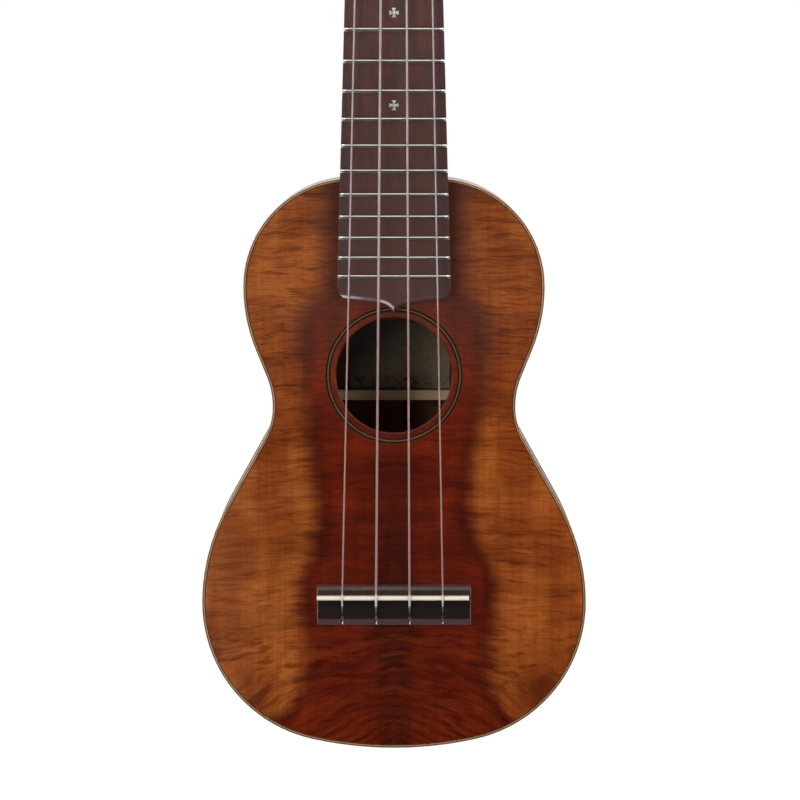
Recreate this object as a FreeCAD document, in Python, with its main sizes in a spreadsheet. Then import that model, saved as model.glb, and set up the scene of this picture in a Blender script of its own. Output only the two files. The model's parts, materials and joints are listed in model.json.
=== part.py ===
import FreeCAD, Part
import math
import os
from FreeCAD import Matrix, Placement, Rotation, Vector

# Soprano ukulele, in millimetres.
# The body stands on its tail: +Z runs from the tail to the headstock, the soundboard faces -Y, and X is 0 on
# the centre line.  The origin is at the tail, halfway between the soundboard's and the back's outer faces.

doc = FreeCAD.newDocument("ukulele")

# ---------------------------------------------------------------- driving sizes

SIZES = [
    # outline of the body
    ("lower_bout_width", 157.8, "widest part of the lower bout"),
    ("waist_width", 99.5, "narrowest part of the waist"),
    ("upper_bout_width", 123.4, "widest part of the upper bout"),
    ("tail_to_lower_bout", 60.1, "height of the lower bout's widest part"),
    ("lower_bout_to_waist", 81.0, "from there up to the waist"),
    ("waist_to_upper_bout", 49.1, "from the waist up to the upper bout's widest part"),
    ("upper_bout_to_top", 44.4, "from there up to the neck joint"),
    ("tail_arc_radius", 155.0, "flat arc across the tail"),
    ("top_arc_radius", 600.0, "nearly straight arc at the neck joint"),
    ("waist_lower_radius", 27.5, "hollow of the waist, lower half"),
    ("waist_upper_radius", 32.0, "hollow of the waist, upper half"),
    ("lower_straight", 31.4, "straight flank below the waist"),
    ("upper_straight", 11.6, "straight flank above the waist"),
    # box of the body
    ("body_depth", 57.0, "outer face of the top to outer face of the back"),
    ("top_thickness", 1.8, "soundboard"),
    ("back_thickness", 1.8, "back"),
    ("rib_thickness", 1.6, "sides"),
    ("binding_width", 0.55, "dark outer line of the edge"),
    ("light_line_width", 0.45, "light line of the edge"),
    ("dark_line_width", 0.45, "dark inner line of the edge"),
    ("edge_round", 0.3, "rounding of the outer corner"),
    ("lining_width", 5.0, "linings, measured inwards from the sides"),
    ("lining_height", 6.0, "linings, measured along the depth"),
    ("neck_block_width", 52.0, "neck block"),
    ("neck_block_length", 20.0, "neck block, measured from the top of the body"),
    ("tail_block_width", 44.0, "tail block"),
    ("tail_block_length", 14.0, "tail block, measured from the tail"),
    ("dowel_radius", 4.0, "two dowels in the neck joint"),
    ("dowel_reach", 14.0, "dowels, each way from the joint"),
    ("dowel_spacing", 18.0, "between the two dowels"),
    # braces, patch and label
    ("brace_width", 4.0, "all braces"),
    ("brace_height", 7.5, "all braces"),
    ("brace_end_height", 2.5, "braces, where they taper off at their ends"),
    ("brace_taper", 14.0, "length of the taper at each end of a brace"),
    ("upper_top_brace_height", 188.0, "top brace above the soundhole"),
    ("lower_top_brace_height", 120.0, "top brace below the soundhole"),
    ("upper_back_brace_height", 194.0, "upper back brace"),
    ("middle_back_brace_height", 142.3, "middle back brace"),
    ("lower_back_brace_height", 68.0, "lower back brace"),
    ("patch_length", 74.0, "bridge patch, across the body"),
    ("patch_width", 27.0, "bridge patch"),
    ("patch_thickness", 1.5, "bridge patch"),
    ("label_width", 42.0, "paper label"),
    ("label_height", 28.0, "paper label"),
    ("label_thickness", 0.15, "paper label"),
    ("label_offset", 2.4, "paper label's middle, to the right of the centre line"),
    ("label_gap", 0.3, "label's lower edge above the middle back brace"),
    # soundhole and rosette
    ("soundhole_height", 153.9, "centre of the soundhole"),
    ("soundhole_radius", 23.7, "soundhole"),
    ("soundhole_ease", 0.45, "bevel of the soundhole's front edge"),
    ("rosette_inner_radius", 26.0, "inside of the inner dark ring"),
    ("rosette_dark_width", 0.45, "each dark ring"),
    ("rosette_light_width", 1.2, "light ring"),
    ("rosette_depth", 0.9, "rings, let into the soundboard"),
    # strings and fretboard
    ("scale_length", 343.0, "nut to the strings' nominal end"),
    ("saddle_height", 63.05, "centre of the saddle above the tail"),
    ("compensation", 2.85, "saddle set back from the nominal end"),
    ("nut_width", 34.5, "fretboard's width at the nut"),
    ("board_widening", 0.0546, "fretboard's widening for each millimetre down from the nut"),
    ("board_thickness", 4.0, "fretboard"),
    ("board_overhang", 10.8, "fretboard's lower edge below the last fret"),
    ("board_corner", 5.8, "rounded corners of the fretboard's end"),
    ("board_end_slope", 6.5, "fall of the end's edges towards the middle, in degrees"),
    ("board_tip_drop", 4.1, "pointed tip below the end's edges"),
    ("board_tip_half_width", 6.7, "half width of the curves that lead to the tip"),
    ("board_ease", 0.35, "eased long edges of the fretboard"),
    ("board_round", 2.4, "rounding of the fretboard's end"),
    ("fret_width", 1.4, "fret crown"),
    ("fret_height", 0.95, "fret crown"),
    ("tang_width", 0.55, "fret tang"),
    ("tang_depth", 1.6, "fret tang"),
    ("fret_bevel_angle", 33.0, "bevel of the frets' ends, from upright"),
    ("marker_size", 3.9, "cross-shaped position markers, tip to tip"),
    ("marker_depth", 1.0, "position markers"),
    # nut, bridge and strings' places
    ("nut_thickness", 4.5, "nut"),
    ("nut_height", 6.3, "nut above the neck's face"),
    ("nut_front_ease", 0.8, "slope at the nut's front top corner"),
    ("nut_back_ease", 1.6, "slope at the nut's back top corner"),
    ("nut_fall", 0.5, "fall of the nut's top towards the headstock"),
    ("bridge_length", 63.2, "bridge, across the body"),
    ("bridge_front", 4.65, "bridge's front edge above the saddle's centre"),
    ("bridge_rear", 12.05, "bridge's rear edge below the saddle's centre"),
    ("bridge_height", 6.6, "bridge"),
    ("bridge_end_ease", 0.7, "rounded ends of the bridge"),
    ("bridge_front_high", 5.3, "top of the bridge's front face"),
    ("bridge_front_bevel", 1.3, "front bevel, seen from the front"),
    ("bridge_rear_low", 2.0, "top of the upright rear edge"),
    ("bridge_rear_high", 4.9, "top of the rear bevel"),
    ("bridge_rear_bevel", 3.0, "rear bevel, seen from the front"),
    ("bridge_draft", 0.3, "lean of the front and rear faces"),
    ("bridge_deck_high", 5.3, "rear end of the hollow behind the saddle"),
    ("bridge_deck_start", 6.2, "rear end of that hollow, from the bridge's rear edge"),
    ("bridge_hollow_high", 5.5, "lowest part of the hollow"),
    ("bridge_saddle_wall", 0.9, "flat top behind the saddle"),
    ("saddle_width", 1.75, "saddle"),
    ("saddle_slot_depth", 3.6, "saddle's slot in the bridge"),
    ("saddle_end_gap", 0.5, "saddle short of the bridge's ends"),
    ("kerf_clearance", 0.3, "string slots in the bridge, wider than their strings"),
    ("kerf_land", 1.6, "top left whole between the saddle's slot and the string slots"),
    ("knot_bore_radius", 1.05, "pockets for the knots"),
    ("knot_bore_depth", 4.3, "pockets for the knots"),
    ("knot_radius", 0.8, "knots"),
    ("knot_height", 2.0, "centre of the knots above the soundboard"),
    ("saddle_offset", -0.45, "saddle's middle from the centre line"),
    ("saddle_g", -21.2, "G string at the saddle, from the centre line"),
    ("saddle_c", -7.35, "C string at the saddle"),
    ("saddle_e", 6.35, "E string at the saddle"),
    ("saddle_a", 19.95, "A string at the saddle"),
    ("nut_g", -13.65, "G string at the nut, from the centre line"),
    ("nut_c", -4.55, "C string at the nut"),
    ("nut_e", 4.65, "E string at the nut"),
    ("nut_a", 13.8, "A string at the nut"),
    ("string_lift", 0.01, "strings' clearance over the saddle's crown"),
    ("nut_bend_radius", 8.0, "strings' bend over the nut"),
    ("nut_contact", 0.8, "strings' bend behind the nut's front face"),
    ("groove_clearance", 0.04, "strings in the nut's grooves"),
    ("action_nut", 0.25, "strings above the fret tops at the nut"),
    ("action_twelfth", 2.4, "strings above the fret tops at the twelfth fret"),
    # neck and head
    ("neck_depth_nut", 12.2, "neck under the fretboard, at the nut"),
    ("neck_depth_heel", 14.4, "neck under the fretboard, where the heel begins"),
    ("heel_length", 56.0, "heel's curve, measured up from the body"),
    ("heel_extra_depth", 8.0, "heel's section continued past the cap, which sets the cap's width"),
    ("heel_cap_thickness", 2.0, "heel cap"),
    ("head_tilt", 10.0, "headstock's angle behind the neck, in degrees"),
    ("head_length", 106.0, "headstock"),
    ("head_thickness", 11.5, "headstock without its headplate"),
    ("headplate_thickness", 1.5, "headplate"),
    ("head_cheek_length", 20.0, "curve from the nut's width to the headstock's"),
    ("head_lower_width", 46.0, "headstock above the cheeks"),
    ("head_upper_width", 57.0, "headstock at its top"),
    ("head_crown", 6.0, "rise of the headstock's curved top edge"),
    ("head_corner", 6.0, "rounded top corners"),
    # pegs
    ("near_peg_distance", 38.0, "outer pegs, from the nut's back face"),
    ("near_peg_offset", 16.0, "outer pegs, from the centre line"),
    ("far_peg_distance", 78.0, "inner pegs, from the nut's back face"),
    ("far_peg_offset", 19.0, "inner pegs, from the centre line"),
    ("post_radius", 3.0, "peg posts"),
    ("post_clearance", 0.05, "posts in their bushes"),
    ("post_front_length", 10.4, "posts above the headplate"),
    ("post_tip_ease", 0.8, "cone at the posts' front ends"),
    ("post_tail_gap", 5.5, "posts' tails short of the buttons' ends"),
    ("post_tail_radius", 2.3, "posts inside the buttons"),
    ("collar_radius", 4.2, "collar over the front ferrule"),
    ("collar_thickness", 0.8, "collar over the front ferrule"),
    ("collar_gap", 0.2, "collar's and button's play against the bushes"),
    ("ferrule_radius", 5.2, "front ferrules"),
    ("ferrule_thickness", 1.0, "front ferrules"),
    ("ferrule_ease", 0.6, "bevel of the front ferrules"),
    ("sleeve_radius", 4.0, "sleeves of ferrules and bushes"),
    ("sleeve_length", 4.0, "sleeves of ferrules and bushes"),
    ("back_bush_radius", 6.0, "back bushes"),
    ("back_bush_thickness", 1.8, "back bushes"),
    ("back_bush_ease", 0.9, "bevel of the back bushes"),
    ("post_hole_radius", 0.7, "string hole in the posts"),
    ("post_hole_height", 8.0, "string hole above the headplate"),
    ("button_length", 16.5, "peg buttons"),
    ("button_width", 19.0, "peg buttons"),
    ("button_neck_width", 9.5, "peg buttons where they meet the bush"),
    ("button_thickness", 7.0, "peg buttons"),
    ("button_round", 2.2, "rounding of the buttons"),
    ("screw_head_radius", 2.6, "screws in the buttons' ends"),
    ("screw_head_height", 1.3, "screws in the buttons' ends"),
    ("screw_head_ease", 0.5, "bevel of the screws' heads"),
    ("screw_stand_out", 0.4, "screws' heads proud of the buttons"),
    ("screw_shank_radius", 1.1, "screws in the buttons' ends"),
    ("screw_shank_length", 7.0, "screws in the buttons' ends"),
    ("string_end_length", 1.8, "cut end of a string beyond its post"),
    ("ring_gap", 0.04, "between turns of string on a post"),
    ("wrap_clearance", 0.06, "between a post and the string's first turn"),
]

FRET_COUNT = 17
MARKER_POSITIONS = (5, 7, 10)
MARKER_NECK, MARKER_FLARE = 0.15, 0.47
FIRST_TURN = math.radians(300)
RING_COUNT = 3

# Strings from left to right: name, radius, and which pair of pegs each one runs to.
STRINGS = [
    ("g", 0.355, "near"),
    ("c", 0.51, "far"),
    ("e", 0.45, "far"),
    ("a", 0.34, "near"),
]

sheet = doc.addObject("Spreadsheet::Sheet", "sizes")
for row, (alias, value, note) in enumerate(SIZES, 1):
    sheet.set(f"A{row}", alias)
    sheet.set(f"B{row}", str(value))
    sheet.set(f"C{row}", note)
    sheet.setAlias(f"B{row}", alias)
doc.recompute()


def size(alias):
    """A driving size, read back from the sheet."""
    return float(getattr(sheet, alias))


# ---------------------------------------------------------------- heights and depths that follow from them

FRONT = -size("body_depth") / 2
BACK = size("body_depth") / 2
LOWER_BOUT_Z = size("tail_to_lower_bout")
WAIST_Z = LOWER_BOUT_Z + size("lower_bout_to_waist")
UPPER_BOUT_Z = WAIST_Z + size("waist_to_upper_bout")
BODY_TOP_Z = UPPER_BOUT_Z + size("upper_bout_to_top")
SADDLE_Z = size("saddle_height")
NUT_Z = SADDLE_Z + size("compensation") + size("scale_length")
BOARD_TOP_Y = FRONT - size("board_thickness")
FRET_TOP_Y = BOARD_TOP_Y - size("fret_height")
EDGE_WIDTH = size("binding_width") + size("light_line_width") + size("dark_line_width")
LOCATE_TOLERANCE = 1e-4


def fret_z(number):
    """Height of a fret, by the twelfth-root-of-two rule."""
    return NUT_Z - size("scale_length") * (1 - 2 ** (-number / 12))


def board_half_width(z):
    return (size("nut_width") + (NUT_Z - z) * size("board_widening")) / 2


BOARD_END_Z = fret_z(FRET_COUNT) - size("board_overhang")

# ---------------------------------------------------------------- body outline


def bout_arc(half_width, rise, flat_radius):
    """Radius of the bout's arc that joins a flat end arc to the bout's widest part, both tangent."""
    return (2 * rise * flat_radius - half_width**2 - rise**2) / (2 * (flat_radius - half_width))


def flank_radius(half_bout, half_waist, rise, waist_radius, straight):
    """Radius of the bout's arc that meets the waist's arc over a straight flank, both tangent."""
    step = half_bout - half_waist
    return (step**2 + rise**2 - straight**2) / (2 * step) - waist_radius


def flank_direction(bout_centre, waist_centre, radii_sum, upwards):
    """Unit normal of the straight flank between a bout's arc and the waist's arc."""
    gap = waist_centre - bout_centre
    turn = math.acos(radii_sum / gap.Length)
    angle = math.atan2(gap.y, gap.x) + (-turn if upwards else turn)
    return Vector(math.cos(angle), math.sin(angle), 0)


def right_outline(inset):
    """Right half of the body's outline from the tail up, as (start, middle, end), with no middle on a line."""
    lower, waist, upper = (size(f"{part}_width") / 2 for part in ("lower_bout", "waist", "upper_bout"))
    tail_radius, top_radius = size("tail_arc_radius"), size("top_arc_radius")
    low_waist, high_waist = size("waist_lower_radius"), size("waist_upper_radius")
    low_bout = bout_arc(lower, LOWER_BOUT_Z, tail_radius)
    low_flank = flank_radius(lower, waist, WAIST_Z - LOWER_BOUT_Z, low_waist, size("lower_straight"))
    high_flank = flank_radius(upper, waist, UPPER_BOUT_Z - WAIST_Z, high_waist, size("upper_straight"))
    shoulder = bout_arc(upper, BODY_TOP_Z - UPPER_BOUT_Z, top_radius)

    tail_centre = Vector(0, tail_radius, 0)
    low_centre = Vector(lower - low_bout, LOWER_BOUT_Z, 0)
    low_flank_centre = Vector(lower - low_flank, LOWER_BOUT_Z, 0)
    low_waist_centre = Vector(waist + low_waist, WAIST_Z, 0)
    high_waist_centre = Vector(waist + high_waist, WAIST_Z, 0)
    high_flank_centre = Vector(upper - high_flank, UPPER_BOUT_Z, 0)
    shoulder_centre = Vector(upper - shoulder, UPPER_BOUT_Z, 0)
    top_centre = Vector(0, BODY_TOP_Z - top_radius, 0)

    down, out, up = Vector(0, -1, 0), Vector(1, 0, 0), Vector(0, 1, 0)
    tail_turn = (low_centre - tail_centre).normalize()
    shoulder_turn = (shoulder_centre - top_centre).normalize()
    low_normal = flank_direction(low_flank_centre, low_waist_centre, low_flank + low_waist, True)
    high_normal = flank_direction(high_flank_centre, high_waist_centre, high_flank + high_waist, False)

    def bulge(centre, radius, first, last):
        radius -= inset
        middle = (first + last).normalize()
        return tuple(centre + direction * radius for direction in (first, middle, last))

    def hollow(centre, radius, first, last):
        radius += inset
        middle = (first + last).normalize()
        return tuple(centre - direction * radius for direction in (first, middle, last))

    pieces = [
        bulge(tail_centre, tail_radius, down, tail_turn),
        bulge(low_centre, low_bout, tail_turn, out),
        bulge(low_flank_centre, low_flank, out, low_normal),
        None,
        hollow(low_waist_centre, low_waist, low_normal, out),
        hollow(high_waist_centre, high_waist, out, high_normal),
        None,
        bulge(high_flank_centre, high_flank, high_normal, out),
        bulge(shoulder_centre, shoulder, out, shoulder_turn),
        bulge(top_centre, top_radius, shoulder_turn, up),
    ]
    for place, piece in enumerate(pieces):
        if piece is None:
            pieces[place] = (pieces[place - 1][2], None, pieces[place + 1][0])
    return pieces


def mirrored(pieces):
    """The same run of pieces on the left side, turned round so that it runs back from neck joint to tail."""
    def flip(point):
        return point and Vector(-point.x, point.y, 0)
    return [(flip(end), flip(middle), flip(start)) for start, middle, end in reversed(pieces)]


def backwards(pieces):
    return [(end, middle, start) for start, middle, end in reversed(pieces)]


def line(start, end):
    return (start, None, end)


def curves(pieces):
    """The pieces as Part curves in their own plane."""
    made = []
    for start, middle, end in pieces:
        if middle is None:
            made.append(Part.LineSegment(start, end))
        else:
            made.append(Part.Arc(start, middle, end))
    return made


def full_loop(inset):
    right = right_outline(inset)
    return right + mirrored(right)


def half_loop(inset, side):
    """Closed loop round the left (-1) or right (+1) half of the body."""
    right = right_outline(inset)
    if side > 0:
        return right + [line(right[-1][2], right[0][0])]
    left = mirrored(right)
    return left + [line(left[-1][2], left[0][0])]


def half_ring(outer, inner, side):
    """Closed loop round the left or right half of a band that follows the outline."""
    outside, inside = right_outline(outer), right_outline(inner)
    if side < 0:
        outside, inside = mirrored(outside), mirrored(inside)
    inside = backwards(inside)
    return outside + [line(outside[-1][2], inside[0][0])] + inside + [line(inside[-1][2], outside[0][0])]


# ---------------------------------------------------------------- ways of making a piece

nodes = []


def node(piece, name):
    """Give a finished piece its name and list it for export."""
    piece.Label = name
    nodes.append(piece)
    return piece


def origin_plane(body, role):
    return next(feature for feature in body.Origin.OriginFeatures if feature.Role == role)


def sketch_on(body, role, loops, name):
    """A sketch on one of the body's own planes, holding closed loops of curves."""
    sketch = body.newObject("Sketcher::SketchObject", name)
    sketch.AttachmentSupport = [(origin_plane(body, role), "")]
    sketch.MapMode = "FlatFace"
    for loop in loops:
        sketch.addGeometry(loop, False)
    return sketch


def pad(body, sketch, length, reverse=False, both_ways=False):
    feature = body.newObject("PartDesign::Pad", f"{body.Name}_pad")
    feature.Profile = sketch
    feature.setExpression("Length", length)
    feature.Reversed = reverse
    feature.SideType = "Symmetric" if both_ways else "One side"
    return feature


def pocket(body, sketch, depth):
    """A pocket that cuts towards the back of the sketch's plane, checked to remove something."""
    doc.recompute()
    before = body.Shape.Volume
    feature = body.newObject("PartDesign::Pocket", f"{body.Name}_pocket")
    feature.Profile = sketch
    feature.setExpression("Length", depth)
    doc.recompute()
    if body.Shape.Volume > before - LOCATE_TOLERANCE:
        raise RuntimeError(f"{body.Name}: a pocket removed nothing")
    return feature


def front_plate(name, loops, front, thickness):
    """A plate drawn face on, from its front face at depth `front` back through `thickness`."""
    body = doc.addObject("PartDesign::Body", name)
    sketch = sketch_on(body, "XZ_Plane", [curves(loop) for loop in loops], f"{name}_outline")
    pad(body, sketch, thickness, reverse=True)
    body.setExpression(".Placement.Base.y", front)
    return body


def turned(name, profile):
    """A body of revolution about its own Z, from a closed profile of (radius, height) corners."""
    body = doc.addObject("PartDesign::Body", name)
    corners = [Vector(radius, height, 0) for radius, height in profile]
    loop = [Part.LineSegment(a, b) for a, b in zip(corners, corners[1:] + corners[:1])]
    sketch = sketch_on(body, "XZ_Plane", [loop], f"{name}_profile")
    feature = body.newObject("PartDesign::Revolution", f"{name}_turn")
    feature.Profile = sketch
    feature.ReferenceAxis = (sketch, ["V_Axis"])
    feature.Angle = 360
    return body


def block(name, corner, lengths):
    """A box whose corner and side lengths are expressions."""
    box = doc.addObject("Part::Box", name)
    for axis, expression in zip("xyz", corner):
        box.setExpression(f".Placement.Base.{axis}", expression)
    for side, expression in zip(("Length", "Width", "Height"), lengths):
        box.setExpression(side, expression)
    return box


def combine(kind, name, base, tool):
    result = doc.addObject(f"Part::{kind}", name)
    result.Base = base
    result.Tool = tool
    return result


def group(name, members):
    """Separate solids that share one name."""
    result = doc.addObject("Part::Compound", name)
    result.Links = members
    return result


def feature_of(name, shape):
    result = doc.addObject("Part::Feature", name)
    result.Shape = shape
    return result


def face_of(pieces, to_space):
    """A face bounded by planar pieces that `to_space` puts in their place."""
    edges = [curve.toShape() for curve in curves(pieces)]
    wire = Part.Wire(edges)
    wire.transformShape(to_space.toMatrix())
    return Part.Face(wire)


def front_face(pieces, y):
    """A face drawn face on (x, z) and put at depth y."""
    return face_of(pieces, Placement(Vector(0, y, 0), Rotation(Vector(1, 0, 0), 90)))


def polygon(corners):
    return [line(a, b) for a, b in zip(corners, corners[1:] + corners[:1])]


def circle_loop(x, z, radius):
    return [Part.Circle(Vector(x, z, 0), Vector(0, 0, 1), radius)]


def dress(body, kind, edges, field, expression):
    """A fillet or chamfer on the body's latest shape."""
    base = body.Tip
    feature = body.newObject(f"PartDesign::{kind}", f"{body.Name}_{kind.lower()}")
    feature.Base = (base, edges)
    feature.setExpression(field, expression)
    return feature


# ---------------------------------------------------------------- soundboard, rosette and back

RING_RADII = [size("rosette_inner_radius")]
for ring_width in ("rosette_dark_width", "rosette_light_width", "rosette_dark_width"):
    RING_RADII.append(RING_RADII[-1] + size(ring_width))


def soundboard_half(name, side):
    """Half of the top: a plate with half the soundhole, its eased edge and the rosette's channel."""
    body = front_plate(name, [half_loop(EDGE_WIDTH, side)], "-sizes.body_depth / 2", "sizes.top_thickness")
    hole_z = size("soundhole_height")
    hole = sketch_on(body, "XZ_Plane", [circle_loop(0, hole_z, size("soundhole_radius"))], f"{name}_hole")
    pocket(body, hole, "sizes.top_thickness")
    channel_loops = [circle_loop(0, hole_z, RING_RADII[-1]), circle_loop(0, hole_z, RING_RADII[0])]
    channel = sketch_on(body, "XZ_Plane", channel_loops, f"{name}_channel")
    pocket(body, channel, "sizes.rosette_depth")
    rim = []
    for number, edge in enumerate(body.Shape.Edges, 1):
        on_front = abs(edge.BoundBox.YMax - FRONT) < LOCATE_TOLERANCE
        is_arc = isinstance(edge.Curve, Part.Circle)
        if on_front and is_arc and abs(edge.Curve.Radius - size("soundhole_radius")) < LOCATE_TOLERANCE:
            rim.append(f"Edge{number}")
    dress(body, "Chamfer", rim, "Size", "sizes.soundhole_ease")
    return body


for name, side in (("soundboard_left", -1), ("soundboard_right", 1)):
    node(soundboard_half(name, side), name)
for name, side in (("back_left", -1), ("back_right", 1)):
    inset = size("binding_width")
    plate = front_plate(name, [half_loop(inset, side)], "sizes.body_depth / 2 - sizes.back_thickness",
                        "sizes.back_thickness")
    node(plate, name)


def rosette_ring(name, inner, outer):
    hole_z = size("soundhole_height")
    body = doc.addObject("PartDesign::Body", name)
    sketch = sketch_on(body, "XZ_Plane", [circle_loop(0, hole_z, outer), circle_loop(0, hole_z, inner)],
                       f"{name}_circles")
    pad(body, sketch, "sizes.rosette_depth", reverse=True)
    body.setExpression(".Placement.Base.y", "-sizes.body_depth / 2")
    return body


for name, inner, outer in zip(("rosette_inner_dark_ring", "rosette_light_ring", "rosette_outer_dark_ring"),
                              RING_RADII, RING_RADII[1:]):
    node(rosette_ring(name, inner, outer), name)

# ---------------------------------------------------------------- edge lines


def edge_line(name, outer, width, front, thickness):
    """A narrow band that follows the outline, as deep as the plate it borders."""
    return front_plate(name, [full_loop(outer), full_loop(outer + size(width))], front, thickness)


def round_outer_corner(body, at_front):
    """Round the corner between the outside of the body and its front or back face."""
    doc.recompute()
    plane_y = FRONT if at_front else BACK
    chosen = []
    for number, edge in enumerate(body.Shape.Edges, 1):
        box = edge.BoundBox
        flat = abs(box.YMin - plane_y) < LOCATE_TOLERANCE and abs(box.YMax - plane_y) < LOCATE_TOLERANCE
        if flat and OUTER_WALL.distToShape(edge)[0] < LOCATE_TOLERANCE:
            chosen.append(f"Edge{number}")
    dress(body, "Fillet", chosen, "Radius", "sizes.edge_round")


ENVELOPE = front_face(full_loop(0), FRONT).extrude(Vector(0, size("body_depth"), 0))
OUTER_WALL = Part.Shell([face for face in ENVELOPE.Faces if abs(face.normalAt(0, 0).y) < 0.5])

top_binding = edge_line("top_binding", 0, "binding_width", "-sizes.body_depth / 2", "sizes.top_thickness")
round_outer_corner(top_binding, True)
node(top_binding, "top_binding")
node(edge_line("top_light_line", size("binding_width"), "light_line_width", "-sizes.body_depth / 2",
               "sizes.top_thickness"), "top_light_line")
node(edge_line("top_dark_line", size("binding_width") + size("light_line_width"), "dark_line_width",
               "-sizes.body_depth / 2", "sizes.top_thickness"), "top_dark_line")
back_binding = edge_line("back_binding", 0, "binding_width", "sizes.body_depth / 2 - sizes.back_thickness",
                         "sizes.back_thickness")
round_outer_corner(back_binding, False)
node(back_binding, "back_binding")

# ---------------------------------------------------------------- neck joint dowels

dowels = []
for number, sign in enumerate((-1, 1), 1):
    dowel = doc.addObject("Part::Cylinder", f"dowel_{number}")
    dowel.setExpression("Radius", "sizes.dowel_radius")
    dowel.setExpression("Height", "2 * sizes.dowel_reach")
    middle = "-sizes.body_depth / 8"
    dowel.setExpression(".Placement.Base.y", f"{middle} + ({sign}) * sizes.dowel_spacing / 2")
    dowel.Placement.Base.z = BODY_TOP_Z - size("dowel_reach")
    dowels.append(dowel)
neck_dowels = node(group("neck_dowels", dowels), "neck_dowels")

# ---------------------------------------------------------------- ribs, blocks and linings

INSIDE_DEPTH = "sizes.body_depth - sizes.top_thickness - sizes.back_thickness"
INSIDE_FRONT = "-sizes.body_depth / 2 + sizes.top_thickness"

for name, side in (("rib_left", -1), ("rib_right", 1)):
    rib_ring = half_ring(0, size("rib_thickness"), side)
    bent = front_plate(f"{name}_bent", [rib_ring], INSIDE_FRONT, INSIDE_DEPTH)
    node(combine("Cut", name, bent, neck_dowels), name)

cavity = front_plate("cavity", [full_loop(size("rib_thickness"))], INSIDE_FRONT, INSIDE_DEPTH)
BODY_TOP = ("(sizes.tail_to_lower_bout + sizes.lower_bout_to_waist"
            " + sizes.waist_to_upper_bout + sizes.upper_bout_to_top)")
neck_box = block("neck_block_blank", ("-sizes.neck_block_width / 2", INSIDE_FRONT,
                                      f"{BODY_TOP} - sizes.neck_block_length"),
                 ("sizes.neck_block_width", INSIDE_DEPTH, "2 * sizes.neck_block_length"))
tail_box = block("tail_block_blank", ("-sizes.tail_block_width / 2", INSIDE_FRONT, "0"),
                 ("sizes.tail_block_width", INSIDE_DEPTH, "sizes.tail_block_length"))
neck_fitted = combine("Common", "neck_block_fitted", neck_box, cavity)
neck_block = combine("Cut", "neck_block", neck_fitted, neck_dowels)
node(neck_block, "neck_block")
tail_block = node(combine("Common", "tail_block", tail_box, cavity), "tail_block")

for plate, start in (("top", INSIDE_FRONT),
                     ("back", "sizes.body_depth / 2 - sizes.back_thickness - sizes.lining_height")):
    for hand, side in (("left", -1), ("right", 1)):
        name = f"{plate}_lining_{hand}"
        inner = size("rib_thickness") + size("lining_width")
        strip = front_plate(f"{name}_strip", [half_ring(size("rib_thickness"), inner, side)], start,
                            "sizes.lining_height")
        trimming = front_plate(f"{name}_trim", [half_loop(0, side)], start, "sizes.lining_height")
        blocks_here = combine("Common", f"{name}_blocks", trimming, group(f"{name}_pair", [neck_box, tail_box]))
        node(combine("Cut", name, strip, blocks_here), name)

# ---------------------------------------------------------------- braces, patch and label


def half_inside_width(z, inset):
    """Half the distance across the body at a height, inside the given inset."""
    slice_line = Part.makeLine(Vector(0, 0, z), Vector(size("lower_bout_width"), 0, z))
    inside = front_face(full_loop(inset), 0)
    return slice_line.common(inside).BoundBox.XMax


def brace(name, height, on_top):
    """A brace across the inside of the top or the back, between the linings, tapered at its ends."""
    low, high = (height - size("brace_width") / 2, height + size("brace_width") / 2)
    inset = size("rib_thickness") + size("lining_width")
    levels = [low, high] + ([WAIST_Z] if low < WAIST_Z < high else [])
    reach = min(half_inside_width(z, inset) for z in levels)
    tall, short, taper = size("brace_height"), size("brace_end_height"), size("brace_taper")
    corners = [Vector(x, y, 0) for x, y in (
        (-reach, 0), (reach, 0), (reach, short), (reach - taper, tall), (taper - reach, tall), (-reach, short))]
    body = doc.addObject("PartDesign::Body", name)
    direction = 1 if on_top else -1
    loop = [Part.LineSegment(Vector(a.x, direction * a.y, 0), Vector(b.x, direction * b.y, 0))
            for a, b in zip(corners, corners[1:] + corners[:1])]
    sketch = sketch_on(body, "XY_Plane", [loop], f"{name}_side")
    pad(body, sketch, "sizes.brace_width", both_ways=True)
    body.setExpression(".Placement.Base.z", f"sizes.{name}_height")
    if on_top:
        body.setExpression(".Placement.Base.y", INSIDE_FRONT)
    else:
        body.setExpression(".Placement.Base.y", "sizes.body_depth / 2 - sizes.back_thickness")
    return node(body, name)


for name in ("upper_top_brace", "lower_top_brace"):
    brace(name, size(f"{name}_height"), True)
for name in ("upper_back_brace", "middle_back_brace", "lower_back_brace"):
    brace(name, size(f"{name}_height"), False)

node(block("bridge_patch",
           ("-sizes.patch_length / 2", INSIDE_FRONT, "sizes.saddle_height - sizes.patch_width / 2"),
           ("sizes.patch_length", "sizes.patch_thickness", "sizes.patch_width")), "bridge_patch")
node(block("label",
           ("sizes.label_offset - sizes.label_width / 2",
            "sizes.body_depth / 2 - sizes.back_thickness - sizes.label_thickness",
            "sizes.middle_back_brace_height + sizes.brace_width / 2 + sizes.label_gap"),
           ("sizes.label_width", "sizes.label_thickness", "sizes.label_height")), "label")

# ---------------------------------------------------------------- fretboard, frets and markers


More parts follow.
